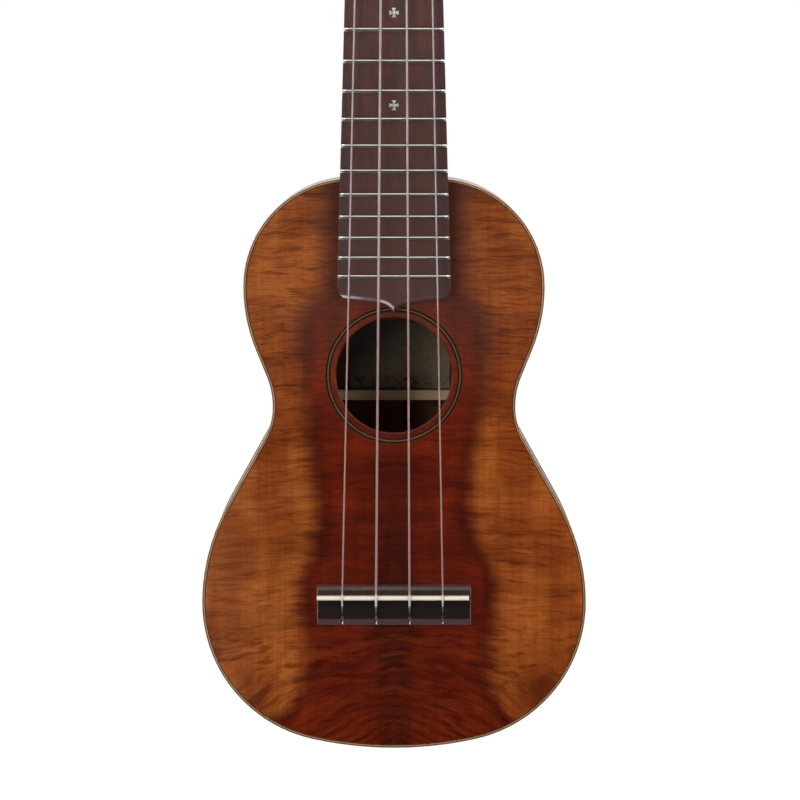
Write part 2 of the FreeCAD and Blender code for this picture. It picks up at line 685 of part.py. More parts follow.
def board_outline(rounded):
    """The fretboard face on: straight sides, round or sharp lower corners, two curves that meet in a point."""
    corner, slope = size("board_corner"), math.radians(size("board_end_slope"))
    tip_x, drop = size("board_tip_half_width"), size("board_tip_drop")
    inwards = Vector(-math.cos(slope), -math.sin(slope), 0)
    below = Vector(math.sin(slope), -math.cos(slope), 0)
    bend, tip = Vector(tip_x, BOARD_END_Z, 0), Vector(0, BOARD_END_Z - drop, 0)
    # The side and the sloping end edge would cross here; the corner's arc is tangent to both.
    lean = math.atan(size("board_widening") / 2)
    side = Vector(math.sin(lean), -math.cos(lean), 0)
    start = Vector(board_half_width(NUT_Z), NUT_Z, 0)
    reach = (bend - start).cross(inwards).z / side.cross(inwards).z
    crossing = start + side * reach
    half_turn = side.getAngle(inwards) / 2
    setback = corner * math.tan(half_turn)
    corner_start, corner_end = crossing - side * setback, crossing + inwards * setback
    towards_centre = (inwards - side).normalize()
    corner_middle = crossing + towards_centre * (corner / math.cos(half_turn) - corner)
    # The curve to the tip leaves the end edge without a corner.
    chord = tip - bend
    radius = chord.dot(chord) / (2 * chord.dot(below))
    centre = bend + below * radius
    curve_middle = centre + ((bend - centre) + (tip - centre)).normalize() * radius
    if corner_end.x < tip_x:
        raise RuntimeError("the fretboard is too narrow for its end curves")
    if rounded:
        right = [line(start, corner_start),
                 (corner_start, corner_middle, corner_end),
                 line(corner_end, bend)]
    else:
        right = [line(start, crossing), line(crossing, bend)]
    right.append((bend, curve_middle, tip))
    left = mirrored(right)
    return right + left + [line(left[-1][2], right[0][0])]


def cross_outline(x, z, reach):
    """A cross with four arms that widen outwards."""
    inner, outer = MARKER_NECK * reach, MARKER_FLARE * reach
    quarter = [Vector(inner, inner, 0), Vector(outer, reach, 0), Vector(-outer, reach, 0)]
    corners = []
    for turn in range(4):
        rotation = Rotation(Vector(0, 0, 1), 90 * turn)
        corners += [Vector(x, z, 0) + rotation.multVec(corner) for corner in quarter]
    return polygon(corners)


def marker_z(position):
    return (fret_z(position - 1) + fret_z(position)) / 2


BOARD_FACE = "-sizes.body_depth / 2 - sizes.board_thickness"
board_blank = front_plate("board_blank", [board_outline(False)], BOARD_FACE, "sizes.board_thickness")


def board_face_edges(is_wanted):
    """Names of the edges round the fretboard's face that are wanted, by their lowest and highest points."""
    doc.recompute()
    chosen = []
    for number, edge in enumerate(board_blank.Shape.Edges, 1):
        box = edge.BoundBox
        flat = abs(box.YMin - BOARD_TOP_Y) < LOCATE_TOLERANCE and abs(box.YMax - BOARD_TOP_Y) < LOCATE_TOLERANCE
        if flat and is_wanted(box.ZMin, box.ZMax):
            chosen.append(f"Edge{number}")
    return chosen


def is_end_edge(low, high):
    return high < fret_z(FRET_COUNT)


def is_long_edge(low, high):
    return high - low > size("scale_length") / 3


dress(board_blank, "Fillet", board_face_edges(is_end_edge), "Radius", "sizes.board_round")
dress(board_blank, "Chamfer", board_face_edges(is_long_edge), "Size", "sizes.board_ease")
slot_half = size("tang_width") / 2
slot_loops = []
for number in range(1, FRET_COUNT + 1):
    reach = board_half_width(fret_z(number)) + 1
    z = fret_z(number)
    corners = [Vector(-reach, z - slot_half, 0), Vector(reach, z - slot_half, 0),
               Vector(reach, z + slot_half, 0), Vector(-reach, z + slot_half, 0)]
    slot_loops.append(curves(polygon(corners)))
pocket(board_blank, sketch_on(board_blank, "XZ_Plane", slot_loops, "fret_slots"), "sizes.tang_depth")
marker_loops = [cross_outline(0, marker_z(position), size("marker_size") / 2) for position in MARKER_POSITIONS]
marker_beds = sketch_on(board_blank, "XZ_Plane", [curves(loop) for loop in marker_loops], "marker_beds")
pocket(board_blank, marker_beds, "sizes.marker_depth")
# The corners are rounded last, so that the end's rounding runs out where it meets them.
board_cutout = front_plate("board_cutout", [board_outline(True)], BOARD_FACE, "sizes.board_thickness")
node(combine("Common", "fretboard", board_blank, board_cutout), "fretboard")

marker_faces = [front_face(loop, BOARD_TOP_Y) for loop in marker_loops]
markers = Part.makeCompound([face.extrude(Vector(0, size("marker_depth"), 0)) for face in marker_faces])
node(feature_of("position_markers", markers), "position_markers")


def fret(number):
    """A fret wire: a rounded crown with bevelled ends on a tang let into the board."""
    z, half, high = fret_z(number), size("fret_width") / 2, size("fret_height")
    deep = size("tang_depth")
    reach = board_half_width(z)
    crown = Part.Arc(Vector(0, BOARD_TOP_Y, z - half), Vector(0, FRET_TOP_Y, z), Vector(0, BOARD_TOP_Y, z + half))
    steps = [Vector(0, BOARD_TOP_Y, z + half), Vector(0, BOARD_TOP_Y, z + slot_half),
             Vector(0, BOARD_TOP_Y + deep, z + slot_half), Vector(0, BOARD_TOP_Y + deep, z - slot_half),
             Vector(0, BOARD_TOP_Y, z - slot_half), Vector(0, BOARD_TOP_Y, z - half)]
    profile = Part.Face(Part.Wire([crown.toShape()] + Part.makePolygon(steps).Edges))
    profile.translate(Vector(-reach, 0, 0))
    wire = profile.extrude(Vector(2 * reach, 0, 0))
    lean = high * math.tan(math.radians(size("fret_bevel_angle")))
    ends = Part.Face(Part.makePolygon([Vector(x, y, z - half) for x, y in (
        (-reach, BOARD_TOP_Y + deep), (reach, BOARD_TOP_Y + deep), (reach, BOARD_TOP_Y),
        (reach - lean, FRET_TOP_Y), (lean - reach, FRET_TOP_Y), (-reach, BOARD_TOP_Y),
        (-reach, BOARD_TOP_Y + deep))]))
    return wire.common(ends.extrude(Vector(0, 0, 2 * half)))


frets = Part.makeCompound([fret(number).Solids[0] for number in range(1, FRET_COUNT + 1)])
node(feature_of("frets", frets), "frets")

# ---------------------------------------------------------------- head's own frame

TILT = math.radians(size("head_tilt"))
HEAD_START = Vector(0, FRONT, NUT_Z + size("nut_thickness"))
HEAD_UP = Vector(0, math.sin(TILT), math.cos(TILT))
HEAD_OUT = Vector(0, -math.cos(TILT), math.sin(TILT))
ACROSS = Vector(1, 0, 0)
HEAD_FRAME = Placement(Matrix(ACROSS.x, HEAD_UP.x, HEAD_OUT.x, HEAD_START.x,
                              ACROSS.y, HEAD_UP.y, HEAD_OUT.y, HEAD_START.y,
                              ACROSS.z, HEAD_UP.z, HEAD_OUT.z, HEAD_START.z,
                              0, 0, 0, 1))


def head_point(x, along, out):
    """A point from its place on the head: across, up from the nut, and out of the head's wooden face."""
    return HEAD_START + ACROSS * x + HEAD_UP * along + HEAD_OUT * out


def peg_place(side, pair):
    """Placement of a peg: its Z is the post's axis, from the headplate's face outwards."""
    at = head_point(side * size(f"{pair}_peg_offset"), size(f"{pair}_peg_distance"), size("headplate_thickness"))
    return Placement(at, Rotation(Vector(0, 0, 1), HEAD_OUT))


PEGS = [
    ("g", -1, "near"),
    ("c", -1, "far"),
    ("e", 1, "far"),
    ("a", 1, "near"),
]

# ---------------------------------------------------------------- neck, heel cap and headplate


HEEL_SWEEP = 1.5
HEAD_SHOULDER = size("head_length") - size("head_crown")
HEAD_GAIN = (size("head_upper_width") - size("head_lower_width")) / 2
HEAD_FLARE = HEAD_GAIN / (HEAD_SHOULDER - size("head_cheek_length"))


def head_slab(thickness):
    """The head face on, given a thickness: cheeks swinging out, flaring sides, curved top, rounded corners."""
    base, low, high = size("nut_width") / 2, size("head_lower_width") / 2, size("head_upper_width") / 2
    cheek, shoulder = size("head_cheek_length"), HEAD_SHOULDER
    edges = []
    for side in (1, -1):
        curve = Part.BezierCurve()
        swing = cheek / 2
        curve.setPoles([Vector(side * base, 0, 0), Vector(side * base, swing, 0),
                        Vector(side * (low - HEAD_FLARE * swing), cheek - swing, 0), Vector(side * low, cheek, 0)])
        edges.append(curve.toShape())
        edges.append(Part.makeLine(Vector(side * low, cheek, 0), Vector(side * high, shoulder, 0)))
    crown = Vector(0, size("head_length"), 0)
    edges.append(Part.Arc(Vector(-high, shoulder, 0), crown, Vector(high, shoulder, 0)).toShape())
    edges.append(Part.makeLine(Vector(-base, 0, 0), Vector(base, 0, 0)))
    outline = Part.Wire(Part.__sortEdges__(edges))
    slab = Part.Face(outline).extrude(Vector(0, 0, -thickness))
    corners = []
    for edge in slab.Edges:
        box = edge.BoundBox
        upright = box.ZLength > thickness - LOCATE_TOLERANCE and box.XLength < LOCATE_TOLERANCE
        if upright and abs(box.YMin - shoulder) < LOCATE_TOLERANCE:
            corners.append(edge)
    slab = slab.makeFillet(size("head_corner"), corners)
    slab.Placement = HEAD_FRAME
    return slab


def rounded_section(start, across, inwards, half_width, depth, power):
    """A section with a straight front and a rounded back: a superellipse of the given power."""
    count = 14
    points = []
    for step in range(count + 1):
        angle = math.pi * step / count
        sideways = math.copysign(abs(math.cos(angle)) ** (2 / power), math.cos(angle)) * half_width
        inward = abs(math.sin(angle)) ** (2 / power) * depth
        if step in (0, count):
            inward = 0
        points.append(start + across * sideways + inwards * inward)
    curve = Part.BSplineCurve()
    curve.interpolate(points)
    return Part.Wire([curve.toShape(), Part.makeLine(points[-1], points[0])])


def smooth(share):
    """A share from 0 to 1 eased at both ends."""
    return share * share * (3 - 2 * share)


def neck_depth(z):
    """Depth of the neck behind the fretboard: a slow swell, then the heel's sweep down to the body."""
    heel_top = BODY_TOP_Z + size("heel_length")
    if z >= heel_top:
        share = (NUT_Z - z) / (NUT_Z - heel_top)
        return size("neck_depth_nut") + share * (size("neck_depth_heel") - size("neck_depth_nut"))
    sweep = smooth(((heel_top - z) / size("heel_length")) ** HEEL_SWEEP)
    full = size("body_depth") + size("heel_extra_depth")
    return size("neck_depth_heel") + sweep * (full - size("neck_depth_heel"))


def neck_shaft():
    """Neck and heel as one smooth skin through even sections, from just inside the body to the nut's back face."""
    steps = 20
    low, high = BODY_TOP_Z - 1, HEAD_START.z
    sections = []
    for step in range(steps + 1):
        z = low + (high - low) * step / steps
        held = min(max(z, BODY_TOP_Z), NUT_Z)
        sections.append(rounded_section(Vector(0, FRONT, z), ACROSS, Vector(0, 1, 0), board_half_width(held),
                                        neck_depth(held), 2))
    return Part.makeLoft(sections, True, False)


def head_wood():
    """The head: the neck's rounded section squares itself off over the cheeks and stays square above."""
    base, low, cheek = size("nut_width") / 2, size("head_lower_width") / 2, size("head_cheek_length")
    round_power, square_power, steps = 2, 5, 14
    sections = []
    for step in range(steps + 1):
        along = (size("head_length") + 1) * step / steps
        blend = smooth(min(1.0, along / (1.5 * cheek)))
        # Always a little wider than the head's outline, which trims it.
        width = base + (low - base) * min(1.0, 1.4 * along / cheek) + max(0.0, along - cheek) * HEAD_FLARE
        width += 1.5 * min(1.0, along / cheek)
        depth = size("neck_depth_nut") + (size("head_thickness") - size("neck_depth_nut")) * blend
        power = round_power + (square_power - round_power) * blend
        sections.append(rounded_section(head_point(0, along, 0), ACROSS, -HEAD_OUT, width, depth, power))
    return Part.makeLoft(sections, True, False).common(head_slab(2 * size("head_thickness")))


def peg_bores():
    """Bores for the ferrules' and bushes' sleeves, right through headplate and head."""
    depth = size("headplate_thickness") + size("head_thickness") + 2
    bores = []
    for _, side, pair in PEGS:
        place = peg_place(side, pair)
        start = place.Base + HEAD_OUT
        bores.append(Part.makeCylinder(size("sleeve_radius"), depth, start, -HEAD_OUT))
    return bores


doc.recompute()
shaft = neck_shaft()
cap_front = BACK - size("heel_cap_thickness")
wide, tall = size("lower_bout_width"), size("scale_length")
cap_corner = Vector(-wide / 2, cap_front, BODY_TOP_Z - tall / 2)
behind_cap = Part.makeBox(wide, size("body_depth"), tall, cap_corner)
cap_slice = Part.makeBox(wide, size("heel_cap_thickness"), tall, cap_corner)
neck_shape = shaft.fuse(head_wood()).removeSplitter()
neck_shape = neck_shape.cut([behind_cap, ENVELOPE] + peg_bores() + neck_dowels.Shape.Solids)
node(feature_of("neck", neck_shape.Solids[0]), "neck")
node(feature_of("heel_cap", shaft.common(cap_slice).cut(ENVELOPE).Solids[0]), "heel_cap")

headplate = head_slab(size("headplate_thickness"))
headplate.translate(HEAD_OUT * size("headplate_thickness"))
node(feature_of("headplate", headplate.cut(peg_bores()).Solids[0]), "headplate")

# ---------------------------------------------------------------- bridge and saddle

STRING_DROP = (size("action_twelfth") - size("action_nut")) / (NUT_Z - fret_z(12))
SADDLE_TOP_Y = FRET_TOP_Y - size("action_nut") - STRING_DROP * (NUT_Z - SADDLE_Z)
BRIDGE_TOP_Y = FRONT - size("bridge_height")


def side_body(name, corners, width, arcs=()):
    """A piece of one section, drawn from the side (depth, height) and extended both ways from the middle."""
    body = doc.addObject("PartDesign::Body", name)
    points = [Vector(y, z, 0) for y, z in corners]
    loop = []
    for number, (a, b) in enumerate(zip(points, points[1:] + points[:1])):
        if number in arcs:
            loop.append(Part.Arc(a, Vector(arcs[number][0], arcs[number][1], 0), b))
        else:
            loop.append(Part.LineSegment(a, b))
    sketch = sketch_on(body, "YZ_Plane", [loop], f"{name}_section")
    pad(body, sketch, width, both_ways=True)
    return body


def bridge_section():
    """Corners of the bridge's section: eased front, flat top, a hollow behind the saddle, sloping rear edge."""
    front_z, rear_z = SADDLE_Z + size("bridge_front"), SADDLE_Z - size("bridge_rear")
    draft, wall_z = size("bridge_draft"), SADDLE_Z - size("saddle_width") / 2 - size("bridge_saddle_wall")
    deck_z = rear_z + size("bridge_deck_start")
    corners = [
        (FRONT, rear_z),
        (FRONT - size("bridge_rear_low"), rear_z + draft),
        (FRONT - size("bridge_rear_high"), rear_z + draft + size("bridge_rear_bevel")),
        (FRONT - size("bridge_deck_high"), deck_z),
        (BRIDGE_TOP_Y, wall_z),
        (BRIDGE_TOP_Y, front_z - draft - size("bridge_front_bevel")),
        (FRONT - size("bridge_front_high"), front_z - draft),
        (FRONT, front_z),
    ]
    hollow = {3: (FRONT - size("bridge_hollow_high"), (deck_z + wall_z) / 2)}
    return corners, hollow


def end_edges(body, half_length):
    """Names of the edges round a piece's two ends, apart from those on the soundboard."""
    doc.recompute()
    chosen = []
    for number, edge in enumerate(body.Shape.Edges, 1):
        box = edge.BoundBox
        at_end = box.XLength < LOCATE_TOLERANCE and abs(abs(box.XMin) - half_length) < LOCATE_TOLERANCE
        if at_end and box.YMin < FRONT - LOCATE_TOLERANCE:
            chosen.append(f"Edge{number}")
    return chosen


corners, hollow = bridge_section()
bridge_blank = side_body("bridge_blank", corners, "sizes.bridge_length", hollow)
bridge_ends = end_edges(bridge_blank, size("bridge_length") / 2)
dress(bridge_blank, "Fillet", bridge_ends, "Radius", "sizes.bridge_end_ease")
saddle_slot = block("saddle_slot", ("-sizes.bridge_length", "-sizes.body_depth / 2 - 2 * sizes.bridge_height",
                                    "sizes.saddle_height - sizes.saddle_width / 2"),
                    ("2 * sizes.bridge_length", "sizes.bridge_height + sizes.saddle_slot_depth",
                     "sizes.saddle_width"))
slot_cutters = [saddle_slot]
for name, radius, _ in STRINGS:
    place = f"sizes.saddle_{name}"
    half_kerf = f"({radius} + sizes.kerf_clearance / 2)"
    kerf = block(f"kerf_{name}",
                 (f"{place} - {half_kerf}", "-sizes.body_depth / 2 - 2 * sizes.bridge_height",
                  "sizes.saddle_height - sizes.bridge_rear - 1"),
                 (f"2 * {half_kerf}", "2 * sizes.bridge_height - sizes.knot_height + sizes.knot_radius / 2",
                  "sizes.bridge_rear + 1 - sizes.saddle_width / 2 - sizes.kerf_land"))
    bore = doc.addObject("Part::Cylinder", f"knot_bore_{name}")
    bore.setExpression("Radius", "sizes.knot_bore_radius")
    bore.setExpression("Height", "sizes.knot_bore_depth + 1")
    bore.setExpression(".Placement.Base.x", place)
    bore.setExpression(".Placement.Base.y", "-sizes.body_depth / 2 - sizes.knot_height")
    bore.setExpression(".Placement.Base.z", "sizes.saddle_height - sizes.bridge_rear - 1")
    slot_cutters += [kerf, bore]
bridge_slots = doc.addObject("Part::MultiFuse", "bridge_slots")
bridge_slots.Shapes = slot_cutters
node(combine("Cut", "bridge", bridge_blank, bridge_slots), "bridge")

saddle_half = size("saddle_width") / 2
saddle_floor = BRIDGE_TOP_Y + size("saddle_slot_depth")
saddle_shoulder = SADDLE_TOP_Y + saddle_half
saddle_front, saddle_rear = SADDLE_Z - saddle_half, SADDLE_Z + saddle_half
saddle = side_body("saddle", [(saddle_floor, saddle_front), (saddle_shoulder, saddle_front),
                              (saddle_shoulder, saddle_rear), (saddle_floor, saddle_rear)],
                   "sizes.bridge_length - 2 * sizes.saddle_end_gap", {1: (SADDLE_TOP_Y, SADDLE_Z)})
saddle.setExpression(".Placement.Base.x", "sizes.saddle_offset")
node(saddle, "saddle")

# ---------------------------------------------------------------- strings

NUT_BEND = size("nut_bend_radius")
KNOT_Y = FRONT - size("knot_height")
KNOT_Z = SADDLE_Z - size("bridge_rear") + size("knot_bore_depth") - size("knot_radius")


def rounded_path(points, radii):
    """Edges of straight runs joined by tangent arcs; radii has one radius for each inner point."""
    edges, start = [], points[0]
    for before, corner, after, radius in zip(points, points[1:], points[2:], radii):
        to_back, to_front = (before - corner).normalize(), (after - corner).normalize()
        half_turn = (math.pi - to_back.getAngle(to_front)) / 2
        reach = radius * math.tan(half_turn)
        first, last = corner + to_back * reach, corner + to_front * reach
        middle_direction = (to_back + to_front).normalize()
        middle = corner + middle_direction * (radius / math.cos(half_turn) - radius)
        edges += [Part.makeLine(start, first), Part.Arc(first, middle, last).toShape()]
        start = last
    edges.append(Part.makeLine(start, points[-1]))
    return edges


def tube(edges, radius):
    """A round bar along the path, checked against its section times its length."""
    path = Part.Wire(edges)
    start = path.Edges[0]
    direction = start.tangentAt(start.FirstParameter)
    section = Part.Wire(Part.makeCircle(radius, start.valueAt(start.FirstParameter), direction))
    bar = path.makePipeShell([section], True, False)
    expected = math.pi * radius**2 * path.Length
    if abs(bar.Volume - expected) > 0.01 * expected:
        raise RuntimeError("a tube's volume differs from its section times its length")
    return bar


def string_corners(name, radius):
    """Where a string turns: its knot, the saddle's crown, and the nut."""
    saddle_x, nut_x = size(f"saddle_{name}"), size(f"nut_{name}")
    knot = Vector(saddle_x, KNOT_Y, KNOT_Z)
    crown_centre = Vector(saddle_x, SADDLE_TOP_Y + saddle_half, SADDLE_Z)
    nut_front = Vector(nut_x, FRET_TOP_Y - size("action_nut") - radius, NUT_Z + size("nut_contact"))
    lift = saddle_half + radius + size("string_lift")
    run_up = Vector(0, nut_front.y - crown_centre.y, nut_front.z - crown_centre.z)
    lean_up = math.atan2(-run_up.y, run_up.z) - math.asin(lift / run_up.Length)
    run_down = Vector(0, knot.y - crown_centre.y, crown_centre.z - knot.z)
    lean_down = math.atan2(-run_down.y, run_down.z) - math.asin(lift / run_down.Length)
    # Each line leaves the crown at its own lean, and the corner is where the two lines cross.
    up = Vector(0, -math.sin(lean_up), math.cos(lean_up))
    down = Vector(0, -math.sin(lean_down), -math.cos(lean_down))
    across = up.y * down.z - up.z * down.y
    between = knot - nut_front
    share = (between.y * down.z - between.z * down.y) / across
    corner = nut_front + up * share
    corner.x = saddle_x
    return knot, corner, nut_front, lift


def wrap_on_post(nut_point, side, pair, radius):
    """The tangent run's end on a post, and the arc of the first turn round it."""
    local = HEAD_FRAME.inverse().multVec(nut_point)
    along, level = local.y, local.z
    centre_x, centre_y = side * size(f"{pair}_peg_offset"), size(f"{pair}_peg_distance")
    turn_radius = size("post_radius") + radius + size("wrap_clearance")
    away = math.hypot(centre_x - local.x, centre_y - along)
    bearing = math.atan2(along - centre_y, local.x - centre_x)
    opening = math.acos(turn_radius / away)
    start = bearing - side * opening

    def on_turn(angle):
        return head_point(centre_x + turn_radius * math.cos(angle), centre_y + turn_radius * math.sin(angle), level)

    spin = -side
    middle, end = start + spin * FIRST_TURN / 2, start + spin * FIRST_TURN
    arc = Part.Arc(on_turn(start), on_turn(middle), on_turn(end)).toShape()
    return on_turn(start), arc, level


# The nut's grooves reach this far towards the saddle and towards the pegs, past the nut's faces.
GROOVE_BEFORE, GROOVE_BEYOND = 4.0, 8.0
string_shapes, string_levels, nut_cutters = [], [], []
for name, radius, pair in STRINGS:
    side = 1 if size(f"nut_{name}") > 0 else -1
    knot, saddle_corner, nut_corner, crown_radius = string_corners(name, radius)
    tangent_point, turn, level = wrap_on_post(nut_corner, side, pair, radius)
    run = rounded_path([knot, saddle_corner, nut_corner, tangent_point], [crown_radius, NUT_BEND])
    string = tube(run + [turn], radius)
    string_shapes.append(string)
    string_levels.append(level - size("headplate_thickness"))
    node(feature_of(f"string_{name}", string), f"string_{name}")
    # A groove for it in the nut: a round floor just wider than the string, open upwards.
    room = radius + size("groove_clearance")
    towards_saddle = (saddle_corner - nut_corner).normalize()
    towards_post = (tangent_point - nut_corner).normalize()
    groove_ends = [nut_corner + towards_saddle * GROOVE_BEFORE, nut_corner,
                   nut_corner + towards_post * GROOVE_BEYOND]
    nut_cutters.append(tube(rounded_path(groove_ends, [NUT_BEND]), room))
    for a, b in zip(groove_ends, groove_ends[1:]):
        out = ACROSS * room
        floor = Part.Face(Part.makePolygon([a - out, b - out, b + out, a + out, a - out]))
        nut_cutters.append(floor.extrude(Vector(0, -size("nut_height"), 0)))
    length = sum(edge.Length for edge in run + [turn])
    post_turn = size("post_radius") + radius + size("wrap_clearance")
    print(f"string_{name}: length {length:.1f}, radii {crown_radius:.2f} at the saddle, "
          f"{NUT_BEND:.1f} at the nut, {post_turn:.2f} on the post")

knots = []
for name, _, _ in STRINGS:
    ball = doc.addObject("Part::Sphere", f"knot_{name}")
    ball.setExpression("Radius", "sizes.knot_radius")
    ball.Placement.Base = Vector(size(f"saddle_{name}"), KNOT_Y, KNOT_Z)
    knots.append(combine("Cut", f"knot_{name}_tied", ball, doc.getObject(f"string_{name}")))
node(group("string_knots", knots), "string_knots")

# ---------------------------------------------------------------- nut

nut_top = FRONT - size("nut_height")
nut_back = NUT_Z + size("nut_thickness")
front_ease, back_ease, fall = size("nut_front_ease"), size("nut_back_ease"), size("nut_fall")
nut_blank = side_body("nut_blank", [(FRONT, NUT_Z), (nut_top + front_ease, NUT_Z), (nut_top, NUT_Z + front_ease),
                                    (nut_top + fall, nut_back - back_ease), (nut_top + fall + back_ease, nut_back),
                                    (FRONT, nut_back)], "sizes.nut_width")
doc.recompute()
nut = feature_of("nut", nut_blank.Shape.cut(nut_cutters))
node(nut, "nut")

# ---------------------------------------------------------------- pegs

BUTTON_NECK_SHARE, BUTTON_HIP_SHARE = 0.16, 0.58
BUSH_BACK = -(size("headplate_thickness") + size("head_thickness"))
BUTTON_FRONT = BUSH_BACK - size("back_bush_thickness") - size("collar_gap")
BUTTON_BACK = BUTTON_FRONT - size("button_length")
COLLAR_LOW = size("ferrule_thickness") + size("collar_gap")
COLLAR_HIGH = COLLAR_LOW + size("collar_thickness")
POST_END = BUTTON_BACK + size("post_tail_gap")


def placed(piece, place):
    piece.Placement = place
    return piece


def peg_post(name, place):
    """Post: tail inside the button, shaft through the head, collar, and the part that takes the string."""
    radius, tail = size("post_radius"), size("post_tail_radius")
    top, ease = size("post_front_length"), size("post_tip_ease")
    profile = [(0, POST_END), (tail, POST_END), (tail, BUTTON_FRONT), (radius, BUTTON_FRONT),
               (radius, COLLAR_LOW), (size("collar_radius"), COLLAR_LOW), (size("collar_radius"), COLLAR_HIGH),
               (radius, COLLAR_HIGH), (radius, top - ease), (radius - ease, top), (0, top)]
    body = turned(f"{name}_turned", profile)
    string_hole = circle_loop(0, size("post_hole_height"), size("post_hole_radius"))
    hole_sketch = sketch_on(body, "XZ_Plane", [string_hole], f"{name}_string_hole")
    doc.recompute()
    before = body.Shape.Volume
    hole = body.newObject("PartDesign::Pocket", f"{name}_hole")
    hole.Profile = hole_sketch
    hole.SideType = "Symmetric"
    hole.setExpression("Length", "4 * sizes.post_radius")
    doc.recompute()
    if body.Shape.Volume > before - LOCATE_TOLERANCE:
        raise RuntimeError(f"{name}: the string hole removed nothing")
    return placed(body, place)


def peg_screw(name, place):
    """Screw let into the end of the button, reaching into the post's tail."""
    head, shank = size("screw_head_radius"), size("screw_shank_radius")
    low, ease = BUTTON_BACK - size("screw_stand_out"), size("screw_head_ease")
    shoulder = low + size("screw_head_height")
    profile = [(0, low), (head - ease, low), (head, low + ease), (head, shoulder), (shank, shoulder),
               (shank, shoulder + size("screw_shank_length")), (0, shoulder + size("screw_shank_length"))]
    return placed(turned(name, profile), place)


def peg_button_blank(name, place):
    """Flat flared button: drawn from the front, given its thickness, and rounded all over."""
    wide, slim = size("button_width") / 2, size("button_neck_width") / 2
    length = size("button_length")
    neck_end, hip, end = (Vector(slim, BUTTON_FRONT - BUTTON_NECK_SHARE * length, 0),
                          Vector(wide, BUTTON_FRONT - BUTTON_HIP_SHARE * length, 0), Vector(0, BUTTON_BACK, 0))
    flare_middle = (neck_end + hip) / 2 + Vector(-0.08 * (wide - slim), 0.015 * length, 0)
    right = [
        line(Vector(slim, BUTTON_FRONT, 0), neck_end),
        (neck_end, flare_middle, hip),
        (hip, Vector(0.78 * wide, BUTTON_BACK + 0.13 * length, 0), end),
    ]
    left = mirrored(right)
    body = doc.addObject("PartDesign::Body", f"{name}_blank")
    loop = curves(right + left + [line(left[-1][2], right[0][0])])
    sketch = sketch_on(body, "XZ_Plane", [loop], f"{name}_face")
    pad(body, sketch, "sizes.button_thickness", both_ways=True)
    doc.recompute()
    chosen = []
    half = size("button_thickness") / 2
    for number, edge in enumerate(body.Shape.Edges, 1):
        box = edge.BoundBox
        flat = box.YLength < LOCATE_TOLERANCE and abs(abs(box.YMin) - half) < LOCATE_TOLERANCE
        if flat and box.ZMax - box.ZMin > LOCATE_TOLERANCE:
            chosen.append(f"Edge{number}")
    dress(body, "Fillet", chosen, "Radius", "sizes.button_round")
    return placed(body, place)


def ferrule(name, place):
    """Front ferrule: a bevelled flange on the headplate and a sleeve inside it."""
    bore = size("post_radius") + size("post_clearance")
    flange, sleeve = size("ferrule_radius"), size("sleeve_radius")
    high, ease = size("ferrule_thickness"), size("ferrule_ease")
    profile = [(bore, -size("sleeve_length")), (sleeve, -size("sleeve_length")), (sleeve, 0), (flange, 0),
               (flange, high - ease), (flange - ease, high), (bore, high)]
    return placed(turned(name, profile), place)


def back_bush(name, place):
    """Back bush: a stepped cup between the head and the button."""
    bore = size("post_radius") + size("post_clearance")
    flange, sleeve = size("back_bush_radius"), size("sleeve_radius")
    low, ease = BUSH_BACK - size("back_bush_thickness"), size("back_bush_ease")
    profile = [(bore, low), (flange - ease, low), (flange, low + ease), (flange, BUSH_BACK), (sleeve, BUSH_BACK),
               (sleeve, BUSH_BACK + size("sleeve_length")), (bore, BUSH_BACK + size("sleeve_length"))]
    return placed(turned(name, profile), place)


def string_winding(name, place, radius, level):
    """The turns that sit on a post above the string's first turn, and its cut end in the post's hole."""
    turns = []
    for number in range(RING_COUNT):
        ring = doc.addObject("Part::Torus", f"{name}_turn_{number}")
        ring.setExpression("Radius1", f"sizes.post_radius + {radius}")
        ring.Radius2 = radius
        height = level + (number + 1) * (2 * radius + size("ring_gap"))
        turns.append(placed(ring, place.multiply(Placement(Vector(0, 0, height), Rotation()))))
    end = doc.addObject("Part::Cylinder", f"{name}_end")
    end.Radius = radius
    end.setExpression("Height", "2 * sizes.post_radius + sizes.string_end_length")
    start = Vector(0, -size("post_radius"), size("post_hole_height"))
    end_place = Placement(start, Rotation(Vector(0, 0, 1), Vector(0, 1, 0)))
    turns.append(placed(end, place.multiply(end_place)))
    return group(name, turns)


ferrules, bushes = [], []
for number, (name, side, pair) in enumerate(PEGS):
    place = peg_place(side, pair)
    radius = STRINGS[number][1]
    screw = peg_screw(f"peg_screw_{name}", place)
    post_blank = peg_post(f"peg_post_{name}", place)
    button_blank = peg_button_blank(f"peg_button_{name}", place)
    fitted = combine("Cut", f"peg_button_{name}_fitted", button_blank, post_blank)
    node(combine("Cut", f"peg_post_{name}", post_blank, screw), f"peg_post_{name}")
    node(combine("Cut", f"peg_button_{name}", fitted, screw), f"peg_button_{name}")
    node(screw, f"peg_screw_{name}")
    winding = string_winding(f"winding_{name}", place, radius, string_levels[number])
    node(winding, f"winding_{name}")
    ferrules.append(ferrule(f"ferrule_{name}", place))
    bushes.append(back_bush(f"bush_{name}", place))
node(group("peg_ferrules", ferrules), "peg_ferrules")
node(group("peg_back_bushes", bushes), "peg_back_bushes")

# ---------------------------------------------------------------- check and export

doc.recompute()
for item in doc.Objects:
    if any(state in item.State for state in ("Invalid", "Error")):
        raise RuntimeError(f"{item.Name} failed: {item.State}")
for piece in nodes:
    shape = piece.Shape
    if shape.isNull() or not shape.isValid() or not shape.Solids:
        raise RuntimeError(f"{piece.Label} has no valid shape")

